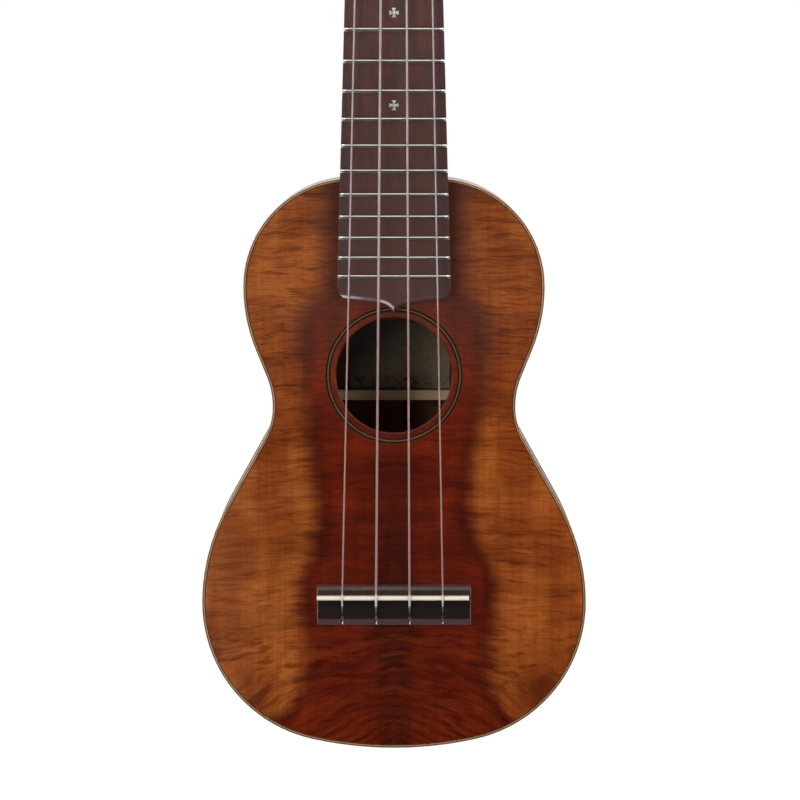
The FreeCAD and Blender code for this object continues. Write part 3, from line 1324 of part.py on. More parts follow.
os.makedirs("parts", exist_ok=True)
for piece in nodes:
    piece.Shape.exportStep(f"parts/{piece.Label}.step")
head_top = head_point(0, size("head_length"), 0).z
print(f"{len(nodes)} pieces, body {BODY_TOP_Z:.1f} long, head's top at {head_top:.1f}")
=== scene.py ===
"""Soprano ukulele: finishes, strings' knots and windings, stage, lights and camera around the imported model."""

import json
import math

import bpy
from bpy.props import FloatProperty, FloatVectorProperty, IntProperty, PointerProperty
from mathutils import Matrix, Vector


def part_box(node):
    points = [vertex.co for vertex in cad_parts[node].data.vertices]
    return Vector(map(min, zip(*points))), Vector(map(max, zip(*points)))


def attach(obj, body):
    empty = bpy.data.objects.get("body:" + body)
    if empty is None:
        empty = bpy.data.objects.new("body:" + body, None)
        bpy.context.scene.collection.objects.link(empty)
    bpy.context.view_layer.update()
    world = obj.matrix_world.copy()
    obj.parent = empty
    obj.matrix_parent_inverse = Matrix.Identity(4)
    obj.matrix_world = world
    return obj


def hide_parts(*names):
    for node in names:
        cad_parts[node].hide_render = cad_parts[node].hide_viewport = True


bl_info = {
    "name": "Soprano Ukulele",
    "version": (1, 0, 0),
    "blender": (4, 5, 0),
    "location": "View3D > Sidebar > Ukulele",
    "description": "Finishes and fine pieces of a soprano ukulele with a figured koa body",
    "category": "Object",
}

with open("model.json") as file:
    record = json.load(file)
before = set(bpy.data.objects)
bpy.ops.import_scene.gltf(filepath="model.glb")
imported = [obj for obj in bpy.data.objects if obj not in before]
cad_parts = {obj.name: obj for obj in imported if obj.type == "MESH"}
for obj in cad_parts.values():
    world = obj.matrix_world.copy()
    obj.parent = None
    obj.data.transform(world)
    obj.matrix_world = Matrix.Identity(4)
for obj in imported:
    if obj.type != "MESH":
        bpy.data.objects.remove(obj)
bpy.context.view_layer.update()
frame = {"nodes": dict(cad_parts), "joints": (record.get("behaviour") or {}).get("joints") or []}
NODES = frame["nodes"]
BODY_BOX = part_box("soundboard_left")
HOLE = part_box("rosette_inner_dark_ring")
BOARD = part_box("fretboard")
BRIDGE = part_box("bridge")
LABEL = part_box("label")
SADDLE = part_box("saddle")
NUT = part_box("nut")
HOLE_MIDDLE = (HOLE[0] + HOLE[1]) / 2
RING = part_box("rosette_light_ring")
STRING_NAMES = ("g", "c", "e", "a")
MM = 1000.0
# Of the rosette's middle ring, in millimetres: the radius of its middle, and half the width of its olive line.
RING_MIDDLE = ((RING[1].x - RING[0].x) + (HOLE[1].x - HOLE[0].x)) / 4 * MM
RING_LINE = ((RING[1].x - RING[0].x) - (HOLE[1].x - HOLE[0].x)) / 4 * MM * 0.33
# How fast the fretboard's half width changes with height; its lowest 8 mm are rounded corners.
BOARD_TAPER = (NUT[1].x - BOARD[1].x) / (NUT[0].z - BOARD[0].z - 0.008)
QUARTER = math.radians(90)
SMOOTH_ANGLE = math.radians(50)
MERGE = 0.000002


# ---------------------------------------------------------------- sizes and colours a user may change


def tone_setting(name, description, colour):
    return FloatVectorProperty(name=name, description=description, default=colour, subtype="COLOR", size=3,
                               min=0, max=1)


def length_setting(name, description, default, least=0.0):
    return FloatProperty(name=name, description=description, default=default, unit="LENGTH", min=least)


class WoodSettings(bpy.types.PropertyGroup):
    """Colours of the woods."""

    koa_gold: tone_setting("Koa gold", "Sapwood of the top, away from the middle", (0.258, 0.074, 0.0130))
    koa_amber: tone_setting("Koa amber", "Deeper tone of the same wood", (0.180, 0.041, 0.0066))
    koa_red: tone_setting("Koa red", "Heartwood beside the strings", (0.110, 0.0092, 0.0010))
    koa_heart: tone_setting("Koa heart", "Darkest heartwood", (0.044, 0.0042, 0.0008))
    koa_orange: tone_setting("Koa orange", "Bright flames in the heartwood", (0.150, 0.021, 0.0028))
    koa_streak: tone_setting("Koa streak", "Narrow dark flames on the sides", (0.052, 0.0075, 0.0035))
    neck_light: tone_setting("Neck light", "Mahogany between its pores", (0.215, 0.076, 0.028))
    neck_dark: tone_setting("Neck dark", "Mahogany's grain lines", (0.085, 0.026, 0.011))
    rosewood_light: tone_setting("Rosewood light", "Fretboard and bridge", (0.074, 0.032, 0.028))
    rosewood_dark: tone_setting("Rosewood dark", "Fretboard's and bridge's grain lines",
                                (0.030, 0.0155, 0.0155))


class FineSettings(bpy.types.PropertyGroup):
    """Sizes of the fine pieces."""

    knot_radius: length_setting("Knot radius", "Middle of a knot's loops", 0.00048, 0.0003)
    tag_length: length_setting("Tag end", "Cut end that stands out of a knot", 0.0022)
    coil_turns: IntProperty(name="Coil turns", description="Close turns of string on a post", default=2,
                            min=1, max=6)
    coil_steps: IntProperty(name="Coil steps", description="Steps round one turn of string on a post",
                            default=32, min=12, max=64)
    cut_end: length_setting("Cut end", "String that stands out of a post's hole", 0.0024)


class StageSettings(bpy.types.PropertyGroup):
    """Floor and camera."""

    floor_size: length_setting("Floor", "Width of the floor", 9.0, 1.0)
    camera_distance: length_setting("Camera distance", "From the soundboard", 1.75, 0.3)
    camera_height: length_setting("Camera height", "Above the floor", 0.2692)
    aim_height: length_setting("Aim height", "Height of the point in the frame's middle", 0.1437)
    aim_side: length_setting("Aim side", "That point, right of the centre line", 0.00246, -1.0)
    lens: FloatProperty(name="Lens", description="Focal length", default=192.8, unit="CAMERA", min=10)


# ---------------------------------------------------------------- node graphs


class Graph:
    """Adds nodes to a tree and wires them; a value may be a socket or a plain constant."""

    def __init__(self, tree):
        self.tree = tree

    def put(self, value, socket):
        if isinstance(value, bpy.types.NodeSocket):
            self.tree.links.new(value, socket)
        elif value is not None:
            if hasattr(socket.default_value, "__len__") and len(value) == 3 and len(socket.default_value) == 4:
                value = (*value, 1.0)
            socket.default_value = value

    def add(self, kind, **settings):
        made = self.tree.nodes.new(kind)
        for name, value in settings.items():
            setattr(made, name, value)
        return made

    def math(self, operation, a, b=None, c=None, clamp=False):
        made = self.add("ShaderNodeMath", operation=operation, use_clamp=clamp)
        for value, socket in zip((a, b, c), made.inputs):
            self.put(value, socket)
        return made.outputs[0]

    def times(self, a, b, clamp=False):
        return self.math("MULTIPLY", a, b, clamp=clamp)

    def weigh(self, value, weight, base, clamp=False):
        """A value times its weight, added to a base."""
        return self.math("MULTIPLY_ADD", value, weight, base, clamp)

    def split(self, vector):
        made = self.add("ShaderNodeSeparateXYZ")
        self.put(vector, made.inputs[0])
        return made.outputs

    def join(self, x, y, z):
        made = self.add("ShaderNodeCombineXYZ")
        for value, socket in zip((x, y, z), made.inputs):
            self.put(value, socket)
        return made.outputs[0]

    def noise(self, vector, detail=2.0, roughness=0.5, scale=1.0, distortion=0.0):
        made = self.add("ShaderNodeTexNoise")
        self.put(vector, made.inputs["Vector"])
        made.inputs["Scale"].default_value = scale
        made.inputs["Detail"].default_value = detail
        made.inputs["Roughness"].default_value = roughness
        made.inputs["Distortion"].default_value = distortion
        return made.outputs["Fac"]

    def field(self, x, y, z, *settings):
        """Noise; each coordinate may come as a pair, a value and its rate."""
        parts = (self.times(*part) if isinstance(part, tuple) else part for part in (x, y, z))
        return self.noise(self.join(*parts), *settings)

    def in_mm(self, place):
        return [self.times(part, MM) for part in self.split(place)]

    def step(self, value, low, high, to_low=0.0, to_high=1.0):
        """Eases from one value to another while the input goes from low to high."""
        made = self.add("ShaderNodeMapRange", interpolation_type="SMOOTHSTEP", clamp=True)
        for given, name in ((value, "Value"), (low, "From Min"), (high, "From Max"),
                            (to_low, "To Min"), (to_high, "To Max")):
            self.put(given, made.inputs[name])
        return made.outputs["Result"]

    def mix(self, share, a, b, blend="MIX"):
        made = self.add("ShaderNodeMix", data_type="RGBA", blend_type=blend)
        self.put(share, made.inputs[0])
        self.put(a, made.inputs[6])
        self.put(b, made.inputs[7])
        return made.outputs[2]

    def tint(self, colour, other, mask, share):
        """Another colour, laid over this one by a share of a mask."""
        return self.mix(self.times(mask, share), colour, other)

    def filtered(self, colour, through):
        return self.mix(1.0, colour, through, "MULTIPLY")

    def ramp(self, share, stops):
        made = self.add("ShaderNodeValToRGB")
        band = made.color_ramp.elements
        while len(band) < len(stops):
            band.new(0.5)
        for element, (place, colour) in zip(band, stops):
            element.position = place
            element.color = (*colour, 1.0)
        self.put(share, made.inputs[0])
        return made.outputs[0]

    def curve(self, share, points):
        """A smooth line through points between 0 and 1."""
        made = self.add("ShaderNodeFloatCurve")
        line = made.mapping.curves[0].points
        while len(line) < len(points):
            line.new(0.5, 0.5)
        for dot, (across, up) in zip(line, points):
            dot.location = (across, up)
            dot.handle_type = "AUTO_CLAMPED"
        made.mapping.update()
        self.put(share, made.inputs["Value"])
        return made.outputs[0]

    def bump(self, height, strength, distance):
        made = self.add("ShaderNodeBump")
        made.inputs["Strength"].default_value = strength
        made.inputs["Distance"].default_value = distance
        self.put(height, made.inputs["Height"])
        return made.outputs[0]

    def fill(self, node, values):
        """Put values on a node's inputs by name, with underscores for spaces."""
        for name, value in values.items():
            self.put(value, node.inputs[name.replace("_", " ")])

    def group(self, tree, **values):
        made = self.add("ShaderNodeGroup", node_tree=tree)
        self.fill(made, values)
        return made.outputs


def new_group(name, inputs, outputs):
    """An empty node group; inputs and outputs list the socket names of each kind."""
    tree = bpy.data.node_groups.new(name, "ShaderNodeTree")
    for side, sockets in (("INPUT", inputs), ("OUTPUT", outputs)):
        for kind, labels in sockets.items():
            for label in labels:
                tree.interface.new_socket(label, in_out=side, socket_type=f"NodeSocket{kind}")
    graph = Graph(tree)
    return graph, graph.add("NodeGroupInput").outputs, graph.add("NodeGroupOutput").inputs


# Half width of the dark heartwood on the top, in millimetres, at heights above the tail.
HEART_EDGE = ((0, 60), (10, 50), (18, 43), (26, 37), (42, 36.5), (62, 40.5), (75, 38), (87, 34.5), (100, 33),
              (118, 35), (133, 37), (149, 40.5), (173, 41.5), (181, 38), (189, 32), (205, 31), (221, 31.5),
              (235, 33))
HEART_SPAN, EDGE_SPAN = 235.0, 60.0


def koa_group():
    """Book-matched koa: gold sapwood, dark heartwood down the middle, flames that rise to the centre seam."""
    g, given, out = new_group(
        "Koa figure",
        {"Vector": ["Position"], "Float": ["Seed", "Hole Glow"],
         "Color": ["Gold", "Amber", "Red", "Heart", "Orange"]},
        {"Color": ["Color"], "Float": ["Height"]})
    x, _, z = g.in_mm(given["Position"])
    seed = given["Seed"]
    wander = g.field((x, 0.03), seed, (z, 0.022))
    u = g.math("ADD", g.math("ABSOLUTE", x), g.weigh(wander, 6.0, -3.0))
    sway = g.field((x, 0.03), g.math("ADD", seed, 7.0), (z, 0.05), 2.5)
    slope = g.step(z, 0.0, 52.0, 0.36, 0.04)
    t = g.math("ADD", g.weigh(slope, u, z), g.weigh(sway, 8.0, -4.0))

    def flames(along, across, detail, offset, rough=0.55):
        shifted = g.weigh(x, 0.004, g.math("ADD", seed, offset))
        return g.field((u, across), shifted, (t, along), detail, rough)

    def upright(across, along, detail, offset):
        return g.field((u, across), g.math("ADD", seed, offset), (z, along), detail)

    broad, ripple = flames(0.075, 0.016, 2.0, 1.0), flames(0.62, 0.060, 3.0, 2.0, 0.68)
    hatch = flames(1.35, 0.16, 2.0, 8.0, 0.6)
    streak, finger = flames(0.27, 0.030, 3.0, 3.0, 0.6), flames(0.15, 0.026, 3.5, 4.0, 0.62)
    edge = g.curve(g.math("DIVIDE", z, HEART_SPAN), [(a / HEART_SPAN, b / EDGE_SPAN) for a, b in HEART_EDGE])
    reach = g.weigh(edge, EDGE_SPAN, g.weigh(finger, 7.0, -3.5))
    # The treble half's heartwood is a little wider below the bridge.
    lean = g.times(g.step(x, 0.0, 10.0), g.step(z, 95.0, 70.0, 0.0, 3.0))
    outside = g.math("SUBTRACT", g.math("SUBTRACT", u, reach), lean)

    # Sapwood: gold beside the heartwood, amber patches towards the rim, in upright bands.
    waist = g.times(g.step(z, 108.0, 140.0), g.step(z, 190.0, 158.0))
    patches = g.weigh(waist, 0.14, upright(0.07, 0.026, 3.0, 5.0))
    patches = g.weigh(g.step(outside, 6.0, 30.0), 0.05, patches)
    gold = g.mix(g.step(patches, 0.38, 0.7), given["Gold"], given["Amber"])

    # Heartwood: darkest just inside its edge, redder further in, dark again at the seam.
    inside = g.times(outside, -1.0)
    rim = g.times(g.step(inside, -2.0, 2.0), g.step(inside, 11.0, 4.0))
    seam = g.step(u, 15.0, 3.0)
    dark = g.math("MAXIMUM", g.times(rim, 0.6), g.times(seam, 0.74))
    cloud = g.math("SUBTRACT", upright(0.11, 0.03, 3.0, 9.0), 0.46)
    dark = g.weigh(g.step(z, 142.0, 165.0), 0.5, dark)
    dark = g.weigh(cloud, 1.7, dark, clamp=True)
    hole = g.add("ShaderNodeVectorMath", operation="DISTANCE")
    g.put(g.join(x, 0.0, z), hole.inputs[0])
    g.put((0.0, 0.0, HOLE_MIDDLE.z * MM), hole.inputs[1])
    glow = g.times(g.step(hole.outputs["Value"], 38.0, 24.0), given["Hole Glow"])
    dark = g.times(dark, g.weigh(glow, -0.25, 1.0))
    heart = g.mix(dark, given["Red"], given["Heart"])
    feather = flames(0.42, 0.070, 3.0, 18.0, 0.6)
    low = g.step(z, 62.0, 40.0)
    tail = g.times(low, g.step(feather, 0.48, 0.62))
    bright = g.math("MAXIMUM", g.times(tail, 0.46), g.times(glow, 0.14))
    heart = g.mix(bright, heart, given["Orange"])
    soft = g.step(z, 100.0, 170.0, 5.5, 10.0)
    wood = g.mix(g.step(outside, g.times(soft, -1.0), soft), heart, gold)

    # Dark tongues cross from the heartwood into the gold.
    tongues = g.times(g.step(outside, 26.0, -2.0), g.step(finger, 0.53, 0.64))
    wood = g.tint(wood, given["Heart"], tongues, 0.4)

    # Flames deepen the wood's own colour: soft bands, fine ripples; light bands between.
    deep = g.filtered(wood, (0.5, 0.34, 0.26))
    bands = g.times(g.step(broad, 0.54, 0.36), 0.42)
    shade = g.weigh(g.step(ripple, 0.52, 0.34), g.step(z, 120.0, 165.0, 0.5, 0.72), bands)
    shade = g.weigh(g.step(hatch, 0.54, 0.36), g.step(z, 120.0, 165.0, 0.32, 0.46), shade)
    shade = g.weigh(g.step(streak, 0.43, 0.3), 0.34, shade)
    shade = g.weigh(g.times(low, g.step(feather, 0.47, 0.34)), 0.8, shade)
    wood = g.mix(g.math("MINIMUM", shade, 1.0), wood, deep)
    lift = g.times(g.step(g.math("ADD", broad, g.weigh(ripple, 0.5, -0.25)), 0.5, 0.68), 0.5)
    wood = g.mix(lift, wood, g.filtered(wood, (1.34, 1.36, 1.38)))

    # Pores and grain run along the body.
    pores = g.field((x, 1.9), g.math("ADD", seed, 11.0), (z, 0.1), 2.0)
    grain = g.field((x, 0.55), g.math("ADD", seed, 13.0), (z, 0.01), 2.0)
    pore_mask = g.step(pores, 0.54, 0.68)
    wood = g.tint(wood, deep, pore_mask, 0.3)
    wood = g.tint(wood, deep, g.step(grain, 0.45, 0.66), 0.22)
    # The treble half is warmer, and darker towards its ends.
    treble = g.step(x, 8.0, 55.0)
    wood = g.tint(wood, g.filtered(wood, (1.0, 0.82, 0.58)), treble, 0.5)
    ends = g.math("MAXIMUM", g.step(z, 130.0, 175.0), g.step(z, 40.0, 15.0))
    ends = g.times(g.step(x, 10.0, 35.0), ends)
    wood = g.tint(wood, g.filtered(wood, (0.74, 0.7, 0.62)), ends, 0.5)
    # Painted sheen: a faint pale veil laid over the upper body and the bass side's rim.
    painted_sheen = g.math("MAXIMUM", g.step(z, 120.0, 190.0), g.step(x, -50.0, -72.0))
    wood = g.tint(wood, (0.42, 0.27, 0.2), painted_sheen, g.step(outside, 6.0, -6.0, 0.03, 0.05))
    g.put(wood, out["Color"])
    g.put(g.weigh(pore_mask, -0.6, g.times(ripple, 0.4)), out["Height"])
    return g.tree


def ribbon_group():
    """Koa bent round the body: flames run from front to back, grain runs along the side."""
    g, given, out = new_group(
        "Koa ribbon",
        {"Vector": ["Position"], "Color": ["Gold", "Amber", "Heart", "Streak"]},
        {"Color": ["Color"], "Float": ["Height"]})
    x, y, z = g.in_mm(given["Position"])
    bend = g.weigh(g.field((x, 0.02), (y, 0.02), (z, 0.02)), 14.0, -7.0)
    around, along = g.math("ADD", x, bend), g.math("ADD", z, bend)

    def bands(tight, drift, detail):
        return g.field((around, tight), (y, drift), (along, tight), detail, 0.55)

    broad, fine = bands(0.10, 0.014, 3.0), bands(0.55, 0.05, 2.0)
    lines = g.field((x, 0.02), (y, 0.55), (z, 0.02), 3.0)
    wood = g.mix(g.step(lines, 0.38, 0.64), given["Amber"], given["Gold"])
    wood = g.tint(wood, given["Heart"], g.step(lines, 0.6, 0.74), 0.55)
    shade = g.weigh(g.math("SUBTRACT", 0.56, broad), 2.8, g.times(g.math("SUBTRACT", 0.5, fine), 1.2))
    wood = g.mix(g.times(shade, 0.7, clamp=True), wood, given["Streak"])
    g.put(wood, out["Color"])
    g.put(g.times(fine, 0.5), out["Height"])
    return g.tree


def grain_group():
    """Straight grain along local Z: lines, pores and slow changes of tone."""
    g, given, out = new_group(
        "Straight grain",
        {"Vector": ["Position"], "Color": ["Light", "Dark"], "Float": ["Lines", "Pores", "Contrast", "Seed"]},
        {"Color": ["Color"], "Float": ["Height"]})
    x, y, z = g.in_mm(given["Position"])
    drift = g.field((x, 0.05), (y, 0.05), (z, 0.012))
    side = g.weigh(drift, 5.0, x)
    lines = g.field((side, given["Lines"]), g.weigh(y, 0.2, given["Seed"]), (z, 0.012), 3.0, 0.6)
    pores = g.field((side, given["Pores"]), g.weigh(y, 0.9, given["Seed"]), (z, 0.1), 2.0)
    tone = g.field((x, 0.04), g.weigh(y, 0.05, given["Seed"]), (z, 0.02), 2.0)
    pore_mask = g.step(pores, 0.55, 0.68)
    share = g.math("ADD", g.times(g.math("SUBTRACT", lines, 0.46), 2.2), g.weigh(tone, 1.2, -0.35))
    share = g.times(share, given["Contrast"], clamp=True)
    wood = g.mix(share, given["Light"], given["Dark"])
    wood = g.tint(wood, given["Dark"], pore_mask, 0.55)
    g.put(wood, out["Color"])
    g.put(g.weigh(pore_mask, -1.0, g.times(lines, 0.4)), out["Height"])
    return g.tree


def wear_group():
    """Handling: faint smears and hairline scratches, as a change of roughness and a height."""
    g, given, out = new_group(
        "Handling wear",
        {"Vector": ["Position"], "Float": ["Base", "Smears", "Scratches"]},
        {"Float": ["Roughness", "Height"]})
    x, y, z = g.in_mm(given["Position"])
    smears = g.field((x, 0.06), (y, 0.06), (z, 0.05), 4.0, 0.6)
    scratches = g.field(g.weigh(z, 0.5, x), (y, 1.4), g.weigh(x, -0.06, g.times(z, 0.09)), 1.0, 0.4, 2.0)
    hair = g.step(scratches, 0.66, 0.72)
    rough = g.weigh(g.step(smears, 0.42, 0.66), given["Smears"], given["Base"])
    rough = g.weigh(hair, given["Scratches"], rough)
    g.put(rough, out["Roughness"])
    g.put(g.times(hair, -1.0), out["Height"])
    return g.tree


def dust_group():
    """A trace of dust on what faces upwards."""
    g, given, out = new_group(
        "Settled dust",
        {"Vector": ["Position"], "Color": ["Color"], "Float": ["Amount"]},
        {"Color": ["Color"]})
    facing = g.add("ShaderNodeTexCoord").outputs["Normal"]
    up = g.step(g.split(facing)[2], 0.55, 0.95)
    specks = g.noise(given["Position"], 4.0, 0.65, 420.0)
    mask = g.times(g.times(up, g.step(specks, 0.42, 0.7)), given["Amount"])
    g.put(g.mix(mask, given["Color"], (0.42, 0.39, 0.35)), out["Color"])
    return g.tree


GROUPS = {}


class Finish:
    """A material under way: its graph, its object position and its Principled shader."""

    def __init__(self, name):
        self.material = bpy.data.materials.new(name)
        self.material.use_nodes = True
        self.graph = Graph(self.material.node_tree)
        self.shader = self.material.node_tree.nodes["Principled BSDF"]
        self.place = self.graph.add("ShaderNodeTexCoord").outputs["Object"]

    def grain(self, light, dark, lines, pores, contrast, seed, crosswise=False):
        """Straight grain, along the height or across the body."""
        where = self.place
        if crosswise:
            turned = self.graph.add("ShaderNodeMapping")
            self.graph.put(where, turned.inputs["Vector"])
            turned.inputs["Rotation"].default_value = (0, QUARTER, 0)
            where = turned.outputs[0]
        return self.graph.group(GROUPS["grain"], Position=where, Light=light, Dark=dark, Lines=lines,
                                Pores=pores, Contrast=contrast, Seed=seed)

    def surface(self, colour, height, base, smears, scratches, relief, dust=0.0, gloss=(), **others):
        """Colour with dust, roughness with wear, and one bump from the wood and the scratches.

        Gloss is the specular level, the coat's weight and the coat's roughness.
        """
        g = self.graph
        wear = g.group(GROUPS["wear"], Position=self.place, Base=base, Smears=smears, Scratches=scratches)
        if dust:
            colour = g.group(GROUPS["dust"], Position=self.place, Color=colour, Amount=dust)["Color"]
        both = g.weigh(wear["Height"], 0.3, height)
        others.update(zip(("Specular_IOR_Level", "Coat_Weight", "Coat_Roughness"), gloss), Base_Color=colour,
                      Roughness=wear["Roughness"], Normal=g.bump(both, 0.5, relief))
        g.fill(self.shader, others)
        return self.material


def begun(name):
    """A new finish, and its graph."""
    finish = Finish(name)
    return finish, finish.graph


def lacquered_koa(name, seed, hole_glow, woods, bare_side=0.0):
    """Glossy koa; on the side whose normal's Y has the sign of bare_side the wood is bare and paler, less pale
    higher up, which is painted shade inside the body.
    """
    finish, g = begun(name)
    koa = g.group(GROUPS["koa"], Position=finish.place, Seed=seed, Hole_Glow=hole_glow, Gold=woods.koa_gold,
                  Amber=woods.koa_amber, Red=woods.koa_red, Heart=woods.koa_heart, Orange=woods.koa_orange)
    facing = g.split(g.add("ShaderNodeTexCoord").outputs["Normal"])[1]
    bare = g.step(g.times(facing, bare_side), 0.5, 0.9)
    height = g.split(finish.place)[2]
    # Painted shade inside the body: the bare wood's pale tint grows weaker from 118 mm to 150 mm up.
    colour = g.tint(koa["Color"], (0.72, 0.42, 0.28), bare, g.step(height, 0.15, 0.118, 0.08, 0.5))
    coat = g.math("SUBTRACT", 1.0, bare)
    return finish.surface(colour, koa["Height"], 0.42, 0.1, 0.05, 0.00002, 0.05, gloss=(0.02, coat, 0.035))


def bent_koa(name, woods):
    """Koa sides, with a dark strip and its pale lines where they meet at the tail."""
    finish, g = begun(name)
    koa = g.group(GROUPS["ribbon"], Position=finish.place, Gold=woods.koa_gold, Amber=woods.koa_amber,
                  Heart=woods.koa_heart, Streak=woods.koa_streak)
    x, _, z = g.split(finish.place)
    side, at_tail = g.math("ABSOLUTE", x), g.step(z, 0.02, 0.015)
    strip = g.times(g.step(side, 0.0021, 0.0019), at_tail)
    line = g.times(g.step(side, 0.0027, 0.0026), at_tail)
    colour = g.mix(line, koa["Color"], (0.25, 0.15, 0.08))
    colour = g.mix(strip, colour, (0.035, 0.016, 0.012))
    return finish.surface(colour, koa["Height"], 0.36, 0.1, 0.05, 0.00002, 0.1, gloss=(0.25, 0.6, 0.16))


def straight_wood(name, light, dark, lines, pores, rough, coat=0.0, relief=0.00006, crosswise=False,
                  contrast=1.0, seed=0.0, dust=0.08, shine=0.4):
    finish = Finish(name)
    grain = finish.grain(light, dark, lines, pores, contrast, seed, crosswise)
    return finish.surface(
        grain["Color"], grain["Height"], rough, 0.1, 0.08, relief, dust, gloss=(shine, coat, 0.06))


def binding_finish(name):
    """Edge binding: a thin dark line on the face, honey-coloured wood round the outer edge."""
    finish, g = begun(name)
    grain = finish.grain((0.62, 0.39, 0.185), (0.44, 0.25, 0.105), 1.2, 3.0, 0.8, 9.0)
    facing = g.math("ABSOLUTE", g.split(g.add("ShaderNodeTexCoord").outputs["Normal"])[1])
    colour = g.mix(g.step(facing, 0.9, 0.985), grain["Color"], (0.05, 0.026, 0.016))
    return finish.surface(colour, grain["Height"], 0.25, 0.1, 0.08, 0.00002, 0.08, gloss=(0.3, 1.0, 0.06))


def rosette_line(name):
    """The rosette's middle ring: one olive line between two dark ones."""
    finish, g = begun(name)
    grain = finish.grain((0.110, 0.066, 0.036), (0.064, 0.036, 0.020), 1.5, 3.0, 1.0, 2.0)
    x, _, z = g.split(finish.place)
    ring = g.add("ShaderNodeVectorMath", operation="LENGTH")
    g.put(g.join(g.times(x, MM), 0.0, g.weigh(z, MM, -HOLE_MIDDLE.z * MM)), ring.inputs[0])
    away = g.math("ABSOLUTE", g.math("SUBTRACT", ring.outputs["Value"], RING_MIDDLE))
    line = g.step(away, RING_LINE + 0.12, RING_LINE)
    return finish.surface(
        g.mix(line, (0.022, 0.008, 0.005), grain["Color"]), grain["Height"], 0.25, 0.1, 0.08, 0.00002,
        gloss=(0.02, 1.0, 0.05))


def metal(name, colour, rough, ends=None):
    """Plated metal with faint tarnish; ends, if given, is the colour of a painted highlight on the ends of the
    frets.
    """
    finish, g = begun(name)
    tarnish = g.step(g.noise(finish.place, 3.0, 0.6, 300.0), 0.45, 0.7)
    tone = g.tint(colour, tuple(part * 0.6 for part in colour), tarnish, 0.22)
    if ends:
        x, _, z = g.split(finish.place)
        half = g.weigh(z, BOARD_TAPER, NUT[1].x - BOARD_TAPER * NUT[0].z)
        # Painted highlight on the frets' ends, standing in for their glints.
        tip_highlight = g.step(g.math("SUBTRACT", half, g.math("ABSOLUTE", x)), 0.0019, 0.0011)
        tone = g.mix(tip_highlight, tone, ends)
    return finish.surface(
        tone, g.noise(finish.place, 2.0, 0.5, 1500.0), rough, 0.1, 0.12, 0.0000005, Metallic=1.0)


def bone(name, colour):
    finish, g = begun(name)
    x, y, z = g.in_mm(finish.place)
    fibres = g.field((x, 0.5), (y, 4.0), (z, 4.0), 3.0)
    stain = g.noise(finish.place, 3.0, 0.6, 220.0)
    base = g.tint(colour, (0.5, 0.42, 0.28), g.step(fibres, 0.5, 0.7), 0.22)
    base = g.tint(base, (0.55, 0.45, 0.3), g.step(stain, 0.55, 0.75), 0.25)
    return finish.surface(
        base, fibres, 0.3, 0.12, 0.15, 0.00001, 0.1, Subsurface_Weight=0.15, Subsurface_Radius=(0.9, 0.6, 0.35),
        Subsurface_Scale=0.0012)


def nylon(name):
    """Clear monofilament: faint lilac, a little milky; warmer where the soundboard shines through it; painted
    highlight from the saddle's top down to the knots, painted shade in the bridge's slots.
    """
    finish, g = begun(name)
    cloud = g.noise(finish.place, 3.0, 0.6, 160.0)
    _, _, z = g.split(finish.place)
    drawn = g.field(0.0, 0.0, (z, 60.0), 2.0)
    colour = g.mix(g.step(cloud, 0.35, 0.7), (0.32, 0.265, 0.28), (0.42, 0.355, 0.37))
    over_board = g.step(z, BOARD[0].z - 0.004, BOARD[0].z + 0.012)
    colour = g.mix(g.weigh(over_board, -0.85, 0.85), colour, (0.34, 0.205, 0.195))
    # Painted highlight on the strings from the saddle's top down to their knots.
    saddle_highlight = g.step(z, SADDLE[1].z + 0.0012, SADDLE[1].z + 0.0002)
    colour = g.mix(saddle_highlight, colour, (0.6, 0.57, 0.53))
    # Painted shade where the strings run down through the bridge's slots.
    slot_shade = g.times(g.step(z, SADDLE[0].z - 0.002, SADDLE[0].z - 0.0034), g.step(z, BRIDGE[0].z + 0.0037,
                                                                                   BRIDGE[0].z + 0.0046))
    colour = g.tint(colour, (0.075, 0.065, 0.07), slot_shade, 0.9)
    clear = g.math("MAXIMUM", g.weigh(over_board, 0.14, 0.6), g.times(saddle_highlight, 0.85))
    return finish.surface(
        colour, drawn, 0.34, 0.1, 0.06, 0.000001, Alpha=clear, Subsurface_Weight=0.25, Subsurface_Scale=0.0006,
        Subsurface_Radius=(1.0, 0.9, 0.9), Coat_Weight=0.3, Coat_Roughness=0.15)


def pearl(name):
    finish, g = begun(name)
    sheets = g.noise(finish.place, 3.0, 0.6, 900.0, 1.5)
    colour = g.ramp(sheets, ((0.30, (0.06, 0.07, 0.075)), (0.46, (0.20, 0.22, 0.21)),
                             (0.54, (0.62, 0.64, 0.62)), (0.66, (0.14, 0.16, 0.17)),
                             (0.78, (0.30, 0.36, 0.33))))
    return finish.surface(colour, sheets, 0.14, 0.08, 0.1, 0.00003, Coat_Weight=0.7, Coat_Roughness=0.05)


